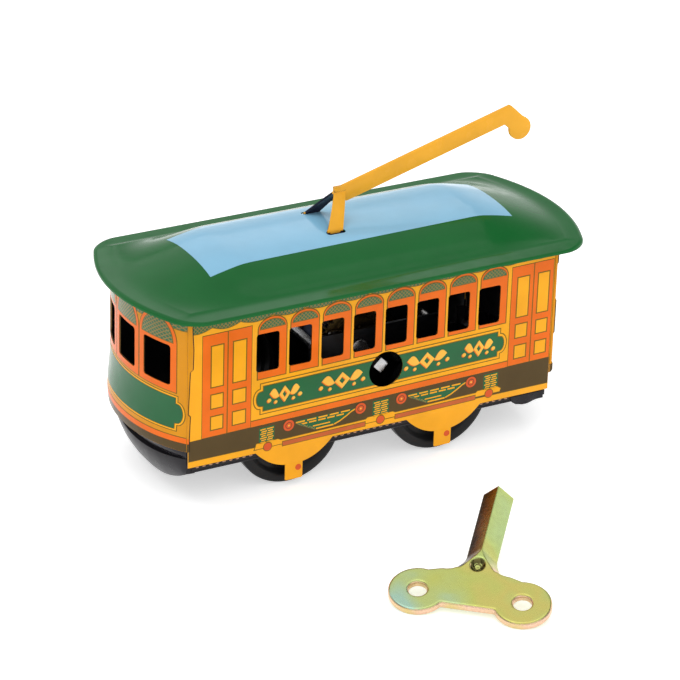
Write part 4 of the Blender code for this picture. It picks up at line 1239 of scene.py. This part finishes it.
def make_stage():
    bm = bmesh.new()
    bmesh.ops.create_circle(bm, cap_ends=True, segments=96, radius=2.5)
    floor = mesh_object("floor", bm)
    nodes = material_nodes("floor_paper")
    pale = nodes.mix(nodes.noise(9), linear(244, 244, 244), linear(250, 250, 250))
    nodes.set(base_color=pale, roughness=0.9, specular_ior_level=0.0, emission_strength=0.5,
              emission_color=(1, 1, 1, 1))
    floor.data.materials.append(nodes.data)


def make_world():
    """Pale near the horizon and darker overhead, so that glossy paint shows shape."""
    nodes = Nodes(bpy.data.worlds.new("studio"), "Background", "Generated")
    greys = ((0.0, 1.0), (0.2, 0.85), (0.44, 0.5), (0.7, 0.16), (1.0, 0.1))
    sky = nodes.ramp(nodes.axes(nodes.place)["Z"], [(position, (grey,) * 3) for position, grey in greys])
    nodes.set(color=sky, strength=1.0)
    bpy.context.scene.world = nodes.data


def facing(azimuth, elevation):
    tilt = Matrix.Rotation(radians(90 - elevation), 4, "X")
    return Matrix.Rotation(radians(azimuth), 4, "Z") @ tilt


def add_light(name, azimuth, elevation, size, power):
    """A soft square light that faces the toy."""
    light = bpy.data.lights.new(name, "AREA")
    light.shape = "SQUARE"
    light.size = size
    light.energy = power
    scene_object(name, light).matrix_world = (Matrix.Translation(LIGHT_TARGET) @ facing(azimuth, elevation)
                                              @ Matrix.Translation((0, 0, LIGHT_DISTANCE)))


def make_camera():
    camera = bpy.data.cameras.new("camera")
    camera.lens = 176.13
    camera.sensor_width = 36
    camera.clip_start = 0.01
    obj = scene_object("camera", camera)
    azimuth, elevation, roll = VIEW_TURN
    target = Matrix.Translation(TOY @ Vector(VIEW_TARGET))
    roll_turn = Matrix.Rotation(radians(roll), 4, "Z")
    back = Matrix.Translation((0, 0, VIEW_DISTANCE * MM))
    obj.matrix_world = target @ facing(azimuth, elevation) @ roll_turn @ back
    bpy.context.scene.camera = obj


# ---------------- the model

make_side("side_panel_near", side_surface(-1), False, [disc(ARBOR, WINDING_HOLE, 64)])
make_side("side_panel_far", side_surface(1, -1), True, [])
make_end("end_panel_front", -1)
make_end("end_panel_rear", 1)
make_wraps()
make_rear_seams()
make_roof()
make_pole()
make_fender("front_fender", -1)
make_fender("rear_fender", 1)
make_skirt_trim()
for axle, axle_x in (("front", FRONT_AXLE_X), ("rear", REAR_AXLE_X)):
    for side, side_name in SIDES:
        make_wheel(f"{axle}_wheel_{side_name}", side, axle_x, f"{axle}_wheelset")
make_arbor()
make_key()

# The motor plates and brass wheels get darkened finishes, painted shade for the dark inside of the body.
CAD_FINISH = (
    (black_enamel, "chassis_base"),
    (bright_steel, "front_axle_bracket front_axle rear_axle motor_pillar_1 motor_pillar_2 motor_pillar_3"),
    (bright_steel, "motor_pillar_4 ratchet_wheel click click_stud second_pinion second_arbor drive_pinion"),
    (motor_plate_shade_paint, "motor_plate_near motor_plate_far"),
    (brass_shade_paint, "click_spring great_wheel second_wheel"),
    (spring_steel, "mainspring"),
)
for finish, node_names in CAD_FINISH:
    for node_name in node_names.split():
        for material_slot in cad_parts[node_name].material_slots:
            material_slot.material = finish

make_stage()
make_world()
add_light("key_light", -18, 60, 2.0, 11.0)
add_light("back_light", 184, 62, 1.8, 10.0)
add_light("side_card", 90, 22, 0.7, 1.0)
make_camera()
bpy.context.scene.view_settings.view_transform = "Standard"
